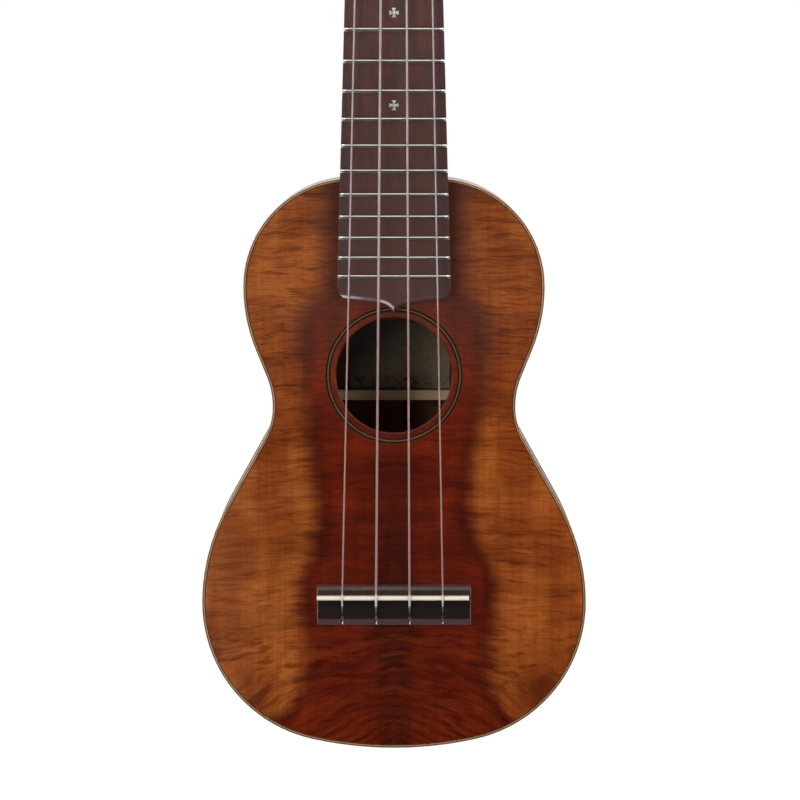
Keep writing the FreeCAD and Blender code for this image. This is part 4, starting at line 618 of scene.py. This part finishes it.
def label_paper(name):
    """Old paper with no lettering: foxed and darkened, with a worn ornamental band along its lower edge; painted
    shade darkens its upper left corner.
    """
    finish, g = begun(name)
    x, _, z = g.in_mm(finish.place)
    low = g.math("SUBTRACT", z, LABEL[0].z * MM)
    across = g.math("DIVIDE", g.math("SUBTRACT", x, LABEL[0].x * MM), (LABEL[1].x - LABEL[0].x) * MM)
    up = g.math("DIVIDE", low, (LABEL[1].z - LABEL[0].z) * MM)
    fibre = g.noise(finish.place, 5.0, 0.65, 500.0)
    stain = g.noise(finish.place, 4.0, 0.65, 90.0)
    ragged = g.noise(finish.place, 3.0, 0.6, 700.0)
    band = g.times(g.step(low, 1.0, 2.2), g.step(low, 6.4, 4.2))
    weave = g.times(g.math("SINE", g.times(x, 2.3)), g.math("SINE", g.times(z, 2.9)))
    broken = g.weigh(g.noise(finish.place, 2.0, 0.5, 260.0), 1.1, -0.55)
    wear_and_highlight = g.step(g.math("ADD", g.weigh(weave, 0.14, broken), ragged), 0.36, 0.7)
    paper = g.mix(g.step(fibre, 0.35, 0.7), (0.28, 0.225, 0.145), (0.38, 0.31, 0.205))
    paper = g.tint(paper, (0.2, 0.135, 0.075), g.step(stain, 0.42, 0.66), 0.55)
    paper = g.tint(paper, (0.06, 0.042, 0.03), band, g.times(wear_and_highlight, 0.75))
    # Painted shade: darker towards its upper left corner, its edge broken up by the stains.
    painted_shade = g.math("ADD", g.times(across, 1.15), g.times(up, -1.0))
    painted_shade = g.step(g.weigh(stain, 0.5, painted_shade), 0.75, -0.35)
    paper = g.tint(paper, (0.03, 0.024, 0.024), painted_shade, 0.93)
    return finish.surface(paper, fibre, 0.75, 0.08, 0.0, 0.00003)


def ivory_plastic(name):
    """Peg buttons: moulded, faintly swirled, yellowed where fingers do not reach."""
    finish, g = begun(name)
    swirl = g.noise(finish.place, 3.0, 0.6, 140.0, 2.0)
    old = g.noise(finish.place, 2.0, 0.5, 60.0)
    colour = g.mix(g.step(swirl, 0.4, 0.62), (0.66, 0.55, 0.36), (0.74, 0.65, 0.47))
    colour = g.tint(colour, (0.55, 0.4, 0.2), g.step(old, 0.5, 0.7), 0.35)
    return finish.surface(
        colour, swirl, 0.24, 0.14, 0.12, 0.00002, 0.1, Subsurface_Weight=0.2, Subsurface_Radius=(1.0, 0.7, 0.4),
        Subsurface_Scale=0.002, Coat_Weight=0.3, Coat_Roughness=0.1)


def fretboard_finish(woods):
    """Oiled rosewood: short reddish flecks along the strings, redder down the middle, darker towards the body;
    painted shade along both long edges.
    """
    finish, g = begun("Fretboard rosewood")
    grain = finish.grain(woods.rosewood_light, woods.rosewood_dark, 0.35, 1.5, 0.8, 3.0)
    x, _, z = g.in_mm(finish.place)
    flecks = g.field((x, 1.1), 4.0, (z, 0.14), 3.0)
    cloud = g.field((x, 0.13), 8.0, (z, 0.085), 3.0)
    middle = g.times(g.step(g.math("ABSOLUTE", x), 17.0, 9.0), g.step(cloud, 0.4, 0.6))
    colour = g.tint(grain["Color"], (0.088, 0.03, 0.024), middle, 0.55)
    colour = g.tint(colour, (0.092, 0.038, 0.031), g.step(flecks, 0.5, 0.66), 0.5)
    colour = g.tint(colour, (0.044, 0.03, 0.031), g.step(cloud, 0.54, 0.38), 0.55)
    # Darker towards the body end.
    colour = g.tint(colour, (0.05, 0.018, 0.015), g.step(z, 330.0, 185.0), 0.68)
    # Painted shade along both long edges.
    colour = g.tint(colour, (0.026, 0.017, 0.017), g.step(g.math("ABSOLUTE", x), 15.5, 21.0), 0.35)
    return finish.surface(colour, grain["Height"], 0.5, 0.1, 0.06, 0.00005, 0.1, gloss=(0.14, 0.5, 0.1))


def bridge_finish(woods):
    finish, g = begun("Bridge rosewood")
    grain = finish.grain(woods.rosewood_light, woods.rosewood_dark, 0.8, 2.4, 1.0, 6.0, True)
    x, _, z = g.in_mm(finish.place)
    foot, top, slot_top = BRIDGE[0].z * MM, BRIDGE[1].z * MM, SADDLE[0].z * MM
    # Painted shade in the slotted hollow behind the saddle, and painted light on the bevel below it.
    hollow_shade = g.times(g.step(z, slot_top + 0.3, slot_top - 0.2), g.step(z, foot + 2.4, foot + 3.6))
    colour = g.mix(0.72, grain["Color"], (0.018, 0.0062, 0.0052))
    colour = g.tint(colour, (0.0055, 0.0025, 0.0025), hollow_shade, 0.75)
    colour = g.tint(colour, (0.11, 0.066, 0.06), g.step(z, foot + 3.4, foot + 2.6), 0.6)
    # Painted highlights along its outline: its ends, its foot and its top edge.
    ends = g.step(g.math("ABSOLUTE", x), BRIDGE[1].x * MM - 0.6, BRIDGE[1].x * MM - 0.3)
    wear_and_highlight = g.math("MAXIMUM", ends, g.times(g.step(z, foot + 0.5, foot + 0.2), 0.7))
    wear_and_highlight = g.math("MAXIMUM", wear_and_highlight, g.times(g.step(z, top - 0.4, top - 0.2), 0.5))
    colour = g.tint(colour, (0.15, 0.095, 0.08), wear_and_highlight, 0.75)
    return finish.surface(colour, grain["Height"], 0.34, 0.1, 0.06, 0.00004, 0.12, gloss=(0.3, 0.8, 0.07))


def inside_wood(name, light, dark, crosswise=False, seed=0.0):
    return straight_wood(name, light, dark, 0.9, 2.4, 0.62, relief=0.00008, crosswise=crosswise, seed=seed,
                         contrast=0.8, dust=0.2)


def dress(material, *names):
    """Put one finish on carried-over nodes."""
    for name in names:
        slots = NODES[name].data.materials
        slots.clear()
        slots.append(material)


# ---------------------------------------------------------------- modelling by hand


def only(piece):
    """Make a piece the only selected and active object."""
    bpy.ops.object.select_all(action="DESELECT")
    piece.select_set(True)
    bpy.context.view_layer.objects.active = piece


def apply_place(piece):
    only(piece)
    bpy.ops.object.transform_apply(location=True, rotation=True, scale=True)


def settle(piece, name, material, body, slot, *stands_for):
    """Name a finished piece, give it its finish, parent it to its body's empty and hide the nodes it stands for.
    """
    piece.name = name
    piece.data.name = name
    piece.data.materials.clear()
    piece.data.materials.append(material)
    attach(piece, body)
    if stands_for:
        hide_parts(*stands_for)


def joined(parts):
    """Join several finished meshes into the first."""
    only(parts[0])
    for part in parts[1:]:
        part.select_set(True)
    bpy.ops.object.join()
    return bpy.context.object


def bridge_end(name, band=0.0004):
    """Middle of a string's lowest end, from the vertices in its last band."""
    points = [vertex.co.copy() for vertex in NODES[name].data.vertices]
    low = min(point.z for point in points)
    near = [point for point in points if point.z < low + band]
    return sum(near, Vector()) / len(near)


def peg_frame(joint):
    """A post's own frame: X across the head, Y along it, Z out of its front, from the joint's axis."""
    out = Vector(joint["axis"]).normalized()
    across = Vector((1.0, 0.0, 0.0))
    along = out.cross(across)
    frame_matrix = Matrix((across, along, out)).transposed().to_4x4()
    frame_matrix.translation = Vector(joint["pos_m"])
    return frame_matrix


def rounded_rod(radius, length, place, turn):
    """A length of string with a nipped, rounded end: a cylinder along local Z, its last ring drawn in."""
    bpy.ops.mesh.primitive_cylinder_add(vertices=14, radius=radius, depth=length, location=place, rotation=turn)
    rod = bpy.context.object
    only(rod)
    bpy.ops.object.mode_set(mode="EDIT")
    bpy.ops.mesh.select_all(action="SELECT")
    bpy.ops.mesh.bevel(offset=radius * 0.35, segments=2, affect="EDGES", clamp_overlap=True)
    bpy.ops.object.mode_set(mode="OBJECT")
    return rod


def outward(piece):
    """Weld a joined mesh and turn its faces outwards, then shade it smooth but for its sharp edges."""
    only(piece)
    bpy.ops.object.mode_set(mode="EDIT")
    bpy.ops.mesh.select_all(action="SELECT")
    bpy.ops.mesh.remove_doubles(threshold=MERGE)
    bpy.ops.mesh.normals_make_consistent(inside=False)
    bpy.ops.object.mode_set(mode="OBJECT")
    bpy.ops.object.shade_smooth_by_angle(angle=SMOOTH_ANGLE)


# ---------------------------------------------------------------- operators


class UKULELE_OT_woods(bpy.types.Operator):
    """Give every wooden part its figure, grain and finish"""

    bl_idname = "ukulele.woods"
    bl_label = "Woods"

    def execute(self, context):
        woods = context.scene.ukulele_woods
        GROUPS.update(koa=koa_group(), ribbon=ribbon_group(), grain=grain_group(), wear=wear_group(),
                      dust=dust_group())
        top = lacquered_koa("Koa top", 0.0, 1.0, woods, 1.0)
        back = lacquered_koa("Koa back", 31.0, 0.0, woods, -1.0)
        dress(top, "soundboard_left", "soundboard_right")
        dress(back, "back_left", "back_right")
        dress(bent_koa("Koa sides", woods), "rib_left", "rib_right")
        dress(lacquered_koa("Koa headplate", 17.0, 0.0, woods), "headplate")
        dark_line = straight_wood("Edge dark", (0.060, 0.028, 0.016), (0.020, 0.010, 0.008), 1.2, 3.0, 0.25,
                                  1.0, shine=0.05)
        light_line = straight_wood("Edge light", (0.330, 0.195, 0.110), (0.200, 0.110, 0.055), 1.2, 3.0, 0.25,
                                   1.0)
        dress(binding_finish("Edge binding"), "top_binding", "back_binding")
        dress(dark_line, "top_dark_line")
        dress(light_line, "top_light_line")
        ring_dark = straight_wood("Rosette dark", (0.026, 0.009, 0.005), (0.012, 0.005, 0.004), 1.5, 3.0, 0.25,
                                  1.0, dust=0.0, shine=0.02)
        dress(ring_dark, "rosette_inner_dark_ring", "rosette_outer_dark_ring")
        dress(rosette_line("Rosette light"), "rosette_light_ring")
        mahogany = straight_wood("Neck mahogany", woods.neck_light, woods.neck_dark, 0.45, 2.0, 0.34, 0.35)
        dress(mahogany, "neck", "heel_cap", "neck_dowels")
        dress(fretboard_finish(woods), "fretboard")
        dress(bridge_finish(woods), "bridge")
        bare = inside_wood("Inside mahogany", (0.30, 0.16, 0.08), (0.16, 0.075, 0.035))
        across = inside_wood("Inside spruce", (0.90, 0.66, 0.44), (0.70, 0.48, 0.28), True, 5.0)
        dress(bare, "neck_block", "tail_block", "bridge_patch",
              *(f"{plate}_lining_{side}" for plate in ("top", "back") for side in ("left", "right")))
        dress(across, *(f"{brace}_brace" for brace in ("upper_top", "lower_top", "upper_back", "middle_back",
                                                       "lower_back")))
        dress(label_paper("Label paper"), "label")
        return {"FINISHED"}


class UKULELE_OT_fittings(bpy.types.Operator):
    """Finish the frets, markers, nut, saddle, pegs and strings"""

    bl_idname = "ukulele.fittings"
    bl_label = "Metal, bone and nylon"

    def execute(self, context):
        dress(metal("Fret nickel silver", (0.50, 0.485, 0.45), 0.30, (0.95, 0.94, 0.92)), "frets")
        plated = metal("Peg nickel plate", (0.74, 0.73, 0.71), 0.13)
        dress(plated, "peg_ferrules", "peg_back_bushes")
        dress(bone("Saddle bone", (0.66, 0.63, 0.54)), "saddle", "nut")
        dress(pearl("Marker pearl"), "position_markers")
        buttons, strings = ivory_plastic("Button plastic"), nylon("String nylon")
        for name in STRING_NAMES:
            dress(plated, f"peg_post_{name}", f"peg_screw_{name}")
            dress(buttons, f"peg_button_{name}")
            dress(strings, f"string_{name}", f"winding_{name}")
        dress(strings, "string_knots")
        return {"FINISHED"}


class UKULELE_OT_knots(bpy.types.Operator):
    """Tie a knot with a cut tag at the bridge end of each string"""

    bl_idname = "ukulele.knots"
    bl_label = "String knots"

    def execute(self, context):
        fine = context.scene.ukulele_fine
        nylon_finish = NODES["string_g"].data.materials[0]
        loops = []
        for name in STRING_NAMES:
            at = bridge_end(f"string_{name}")
            thread = min(0.00034, fine.knot_radius * 0.72)
            for turn, shift in (((0.5, 0.0, 0.5), -0.00022), ((-0.6, 0.5, 0.0), 0.00022),
                                ((1.4, 0.3, 0.2), 0.0)):
                bpy.ops.mesh.primitive_torus_add(location=at + Vector((0, 0, shift - 0.0003)), rotation=turn,
                                                 major_segments=24, minor_segments=10,
                                                 major_radius=fine.knot_radius, minor_radius=thread * 0.8)
                loops.append(bpy.context.object)
            tag_place = at + Vector((0.0002, -0.0003, -0.0005 - fine.tag_length / 2))
            loops.append(rounded_rod(thread, fine.tag_length, tag_place, (-0.25, 0.12, 0.0)))
        for loop in loops:
            apply_place(loop)
        knots = joined(loops)
        outward(knots)
        settle(knots, "knotted_ends", nylon_finish, "instrument", "string_nylon", "string_knots")
        return {"FINISHED"}


class UKULELE_OT_windings(bpy.types.Operator):
    """Wind each string round its post in one helix, with its cut end through the post's hole"""

    bl_idname = "ukulele.windings"
    bl_label = "String windings"

    def execute(self, context):
        fine = context.scene.ukulele_fine
        nylon_finish = NODES["string_g"].data.materials[0]
        for joint in frame["joints"]:
            letter = joint["child"][-1]
            place = peg_frame(joint)
            # The CAD's rings and cut end give the post's radius, the first turn's level and the hole's height.
            found = self.in_frame(f"winding_{letter}", place)
            thread = self.thread_radius(letter, place)
            post = min(point.xy.length for point in found)
            first = min(point.z for point in found) + thread
            hole = max(point.z for point in found) - thread
            spin = 1.0 if joint["pos_m"][0] < 0 else -1.0
            parts = self.coil(fine, thread, post + thread, first, hole, spin)
            reach = post * 2 + thread + fine.cut_end
            middle = (0.0, reach / 2 - post - thread, hole)
            parts.append(rounded_rod(thread, reach, middle, (QUARTER, 0.0, 0.0)))
            for part in parts:
                apply_place(part)
                part.data.transform(place)
            winding = joined(parts)
            outward(winding)
            settle(winding, f"wound_string_{letter}", nylon_finish, joint["child"], "string_nylon",
                   f"winding_{letter}")
        return {"FINISHED"}

    def in_frame(self, node, place):
        back = place.inverted()
        return [back @ vertex.co for vertex in NODES[node].data.vertices]

    def thread_radius(self, letter, place):
        """Half the height of the string's own turn round the post, which stays within a little of the axis."""
        round_post = 0.0042
        turn = [point.z for point in self.in_frame(f"string_{letter}", place) if point.xy.length < round_post]
        return (max(turn) - min(turn)) / 2

    def coil(self, fine, thread, radius, first, hole, spin):
        """Close turns, then one long climb that ends at the hole's mouth."""
        pitch = thread * 2.06  # a hair more than its own thickness, so that turns do not merge
        top = first + pitch * fine.coil_turns
        climb = math.radians(270)
        start = -QUARTER - spin * climb
        runs = []
        for level, angle, rise, rounds in ((first, math.tau, pitch, fine.coil_turns),
                                           (top, climb, hole - top, 1)):
            bpy.ops.mesh.primitive_circle_add(vertices=12, radius=thread, fill_type="NOTHING",
                                              location=(radius, 0.0, level), rotation=(QUARTER, 0.0, 0.0))
            run = bpy.context.object
            apply_place(run)
            screw = run.modifiers.new("Turns", "SCREW")
            screw.axis = "Z"
            screw.angle = spin * angle
            screw.screw_offset = rise
            screw.iterations = rounds
            screw.steps = screw.render_steps = round(fine.coil_steps * angle / math.tau)
            bpy.ops.object.modifier_apply(modifier=screw.name)
            bpy.ops.object.mode_set(mode="EDIT")
            bpy.ops.mesh.select_all(action="SELECT")
            bpy.ops.mesh.remove_doubles(threshold=MERGE)
            bpy.ops.mesh.select_all(action="DESELECT")
            bpy.ops.mesh.select_non_manifold()
            bpy.ops.mesh.edge_face_add()
            bpy.ops.object.mode_set(mode="OBJECT")
            run.rotation_euler = (0.0, 0.0, start)
            runs.append(run)
        return runs


class UKULELE_OT_stage(bpy.types.Operator):
    """Add the floor, the soft lights and the camera"""

    bl_idname = "ukulele.stage"
    bl_label = "Stage, lights and camera"

    def execute(self, context):
        stage = context.scene.ukulele_stage
        context.scene.view_settings.view_transform = "Standard"
        self.floor(stage)
        self.surroundings(context.scene)
        self.lights()
        self.camera(context.scene, stage)
        return {"FINISHED"}

    def floor(self, stage):
        bpy.ops.mesh.primitive_grid_add(x_subdivisions=8, y_subdivisions=8, size=stage.floor_size,
                                        location=(0, 0, -0.0004))
        floor = bpy.context.object
        apply_place(floor)
        floor.name = "floor"
        material = bpy.data.materials.new("Pale floor")
        material.use_nodes = True
        graph = Graph(material.node_tree)
        shader = material.node_tree.nodes["Principled BSDF"]
        mottle = graph.noise(graph.add("ShaderNodeTexCoord").outputs["Object"], 3.0, 0.5, 6.0)
        graph.put(graph.mix(mottle, (0.86, 0.86, 0.86), (0.90, 0.90, 0.90)), shader.inputs["Base Color"])
        shader.inputs["Roughness"].default_value = 0.9
        shader.inputs["Specular IOR Level"].default_value = 0.1
        bright = graph.add("ShaderNodeEmission")
        bright.inputs["Strength"].default_value = 1.12
        path = graph.add("ShaderNodeLightPath").outputs
        # Gloss sees a dark floor, so that the lacquer does not turn milky.
        dull = graph.add("ShaderNodeBsdfDiffuse")
        dull.inputs["Color"].default_value = (0.05, 0.05, 0.05, 1.0)
        seen = shader.outputs[0]
        for share, other in ((graph.times(path["Is Camera Ray"], 0.9), bright), (path["Is Glossy Ray"], dull)):
            blend = graph.add("ShaderNodeMixShader")
            for value, socket in zip((share, seen, other.outputs[0]), blend.inputs):
                graph.put(value, socket)
            seen = blend.outputs[0]
        graph.put(seen, material.node_tree.nodes["Material Output"].inputs[0])
        floor.data.materials.append(material)

    def surroundings(self, scene):
        """White to the camera; to everything else bright behind and above the object, dim behind the camera."""
        world = bpy.data.worlds.new("Studio")
        world.use_nodes = True
        scene.world = world
        graph = Graph(world.node_tree)
        shade = world.node_tree.nodes["Background"]
        direction = graph.add("ShaderNodeTexCoord").outputs["Generated"]
        _, y, z = graph.split(direction)
        behind = graph.step(y, -0.35, 0.20)
        above = graph.step(z, 0.50, 0.95)
        level = graph.math("MAXIMUM", graph.times(behind, 0.95), graph.times(above, 0.75))
        level = graph.weigh(level, 0.92, 0.02)
        camera = graph.add("ShaderNodeLightPath").outputs["Is Camera Ray"]
        level = graph.math("MAXIMUM", level, camera)
        graph.put(graph.join(level, level, level), shade.inputs["Color"])

    def lights(self):
        """Three big soft lights, and two that reach one piece each: one on the floor, one beside the body."""
        aim = Vector((0.0, BODY_BOX[0].y, 0.15))
        straight_up = (math.pi, 0.0, 0.0)
        for name, place, size, power, colour, receiver in (
            ("Key", (-1.30, -1.35, 0.30), (0.9, 1.1), 27.5, (1.0, 0.985, 0.96), None),
            ("Fill", (1.45, -1.25, 0.55), (0.9, 1.1), 15.8, (1.0, 0.95, 0.87), None),
            ("Top", (0.0, -0.75, 1.55), (1.4, 0.7), 9.0, (1.0, 1.0, 1.0), None),
            ("Board glint", (-0.142, -0.165, 0.004), (0.21, 0.27), 2.9, (0.93, 0.90, 1.0), "fretboard"),
            ("Bridge glint", (-0.75, -0.12, 0.20), (0.16, 0.9), 5.0, (1.0, 0.97, 0.97), "bridge"),
        ):
            light = bpy.data.lights.new(name, "AREA")
            light.shape = "RECTANGLE"
            light.size, light.size_y = size
            light.energy = power
            light.color = colour
            lamp = bpy.data.objects.new(name, light)
            lamp.location = place
            lamp.rotation_euler = (aim - Vector(place)).to_track_quat("-Z", "Y").to_euler()
            if receiver == "fretboard":
                lamp.rotation_euler = straight_up
            lamp.visible_camera = False
            bpy.context.scene.collection.objects.link(lamp)
            if receiver:
                lamp.visible_diffuse = False
                lit = bpy.data.collections.new(f"{name} pieces")
                lit.objects.link(NODES[receiver])
                lamp.light_linking.receiver_collection = lit

    def camera(self, scene, stage):
        data = bpy.data.cameras.new("Camera")
        data.lens = stage.lens
        data.clip_end = 50.0
        camera = bpy.data.objects.new("Camera", data)
        front = BODY_BOX[0].y
        camera.location = (stage.aim_side, front - stage.camera_distance, stage.camera_height)
        target = Vector((stage.aim_side, front, stage.aim_height))
        camera.rotation_euler = (target - camera.location).to_track_quat("-Z", "Y").to_euler()
        scene.collection.objects.link(camera)
        scene.camera = camera


class UKULELE_PT_panel(bpy.types.Panel):
    """Lists the steps that finish the ukulele"""

    bl_idname = "UKULELE_PT_panel"
    bl_label = "Ukulele"
    bl_space_type = "VIEW_3D"
    bl_region_type = "UI"
    bl_category = "Ukulele"

    def draw(self, context):
        for step in STEPS:
            self.layout.operator(step.bl_idname)
        for settings in (context.scene.ukulele_woods, context.scene.ukulele_fine, context.scene.ukulele_stage):
            box = self.layout.box()
            for name in settings.__annotations__:
                box.prop(settings, name)


STEPS = (UKULELE_OT_woods, UKULELE_OT_fittings, UKULELE_OT_knots, UKULELE_OT_windings, UKULELE_OT_stage)
SETTINGS = (("ukulele_woods", WoodSettings), ("ukulele_fine", FineSettings), ("ukulele_stage", StageSettings))


def register():
    for _, settings in SETTINGS:
        bpy.utils.register_class(settings)
    for step in STEPS:
        bpy.utils.register_class(step)
    bpy.utils.register_class(UKULELE_PT_panel)
    for name, settings in SETTINGS:
        setattr(bpy.types.Scene, name, PointerProperty(type=settings))


def unregister():
    for name, _ in SETTINGS:
        delattr(bpy.types.Scene, name)
    for known in (UKULELE_PT_panel, *reversed(STEPS), *(settings for _, settings in reversed(SETTINGS))):
        bpy.utils.unregister_class(known)


def main():
    register()
    bpy.ops.ukulele.woods()
    bpy.ops.ukulele.fittings()
    bpy.ops.ukulele.knots()
    bpy.ops.ukulele.windings()
    bpy.ops.ukulele.stage()


if __name__ == "__main__":
    main()
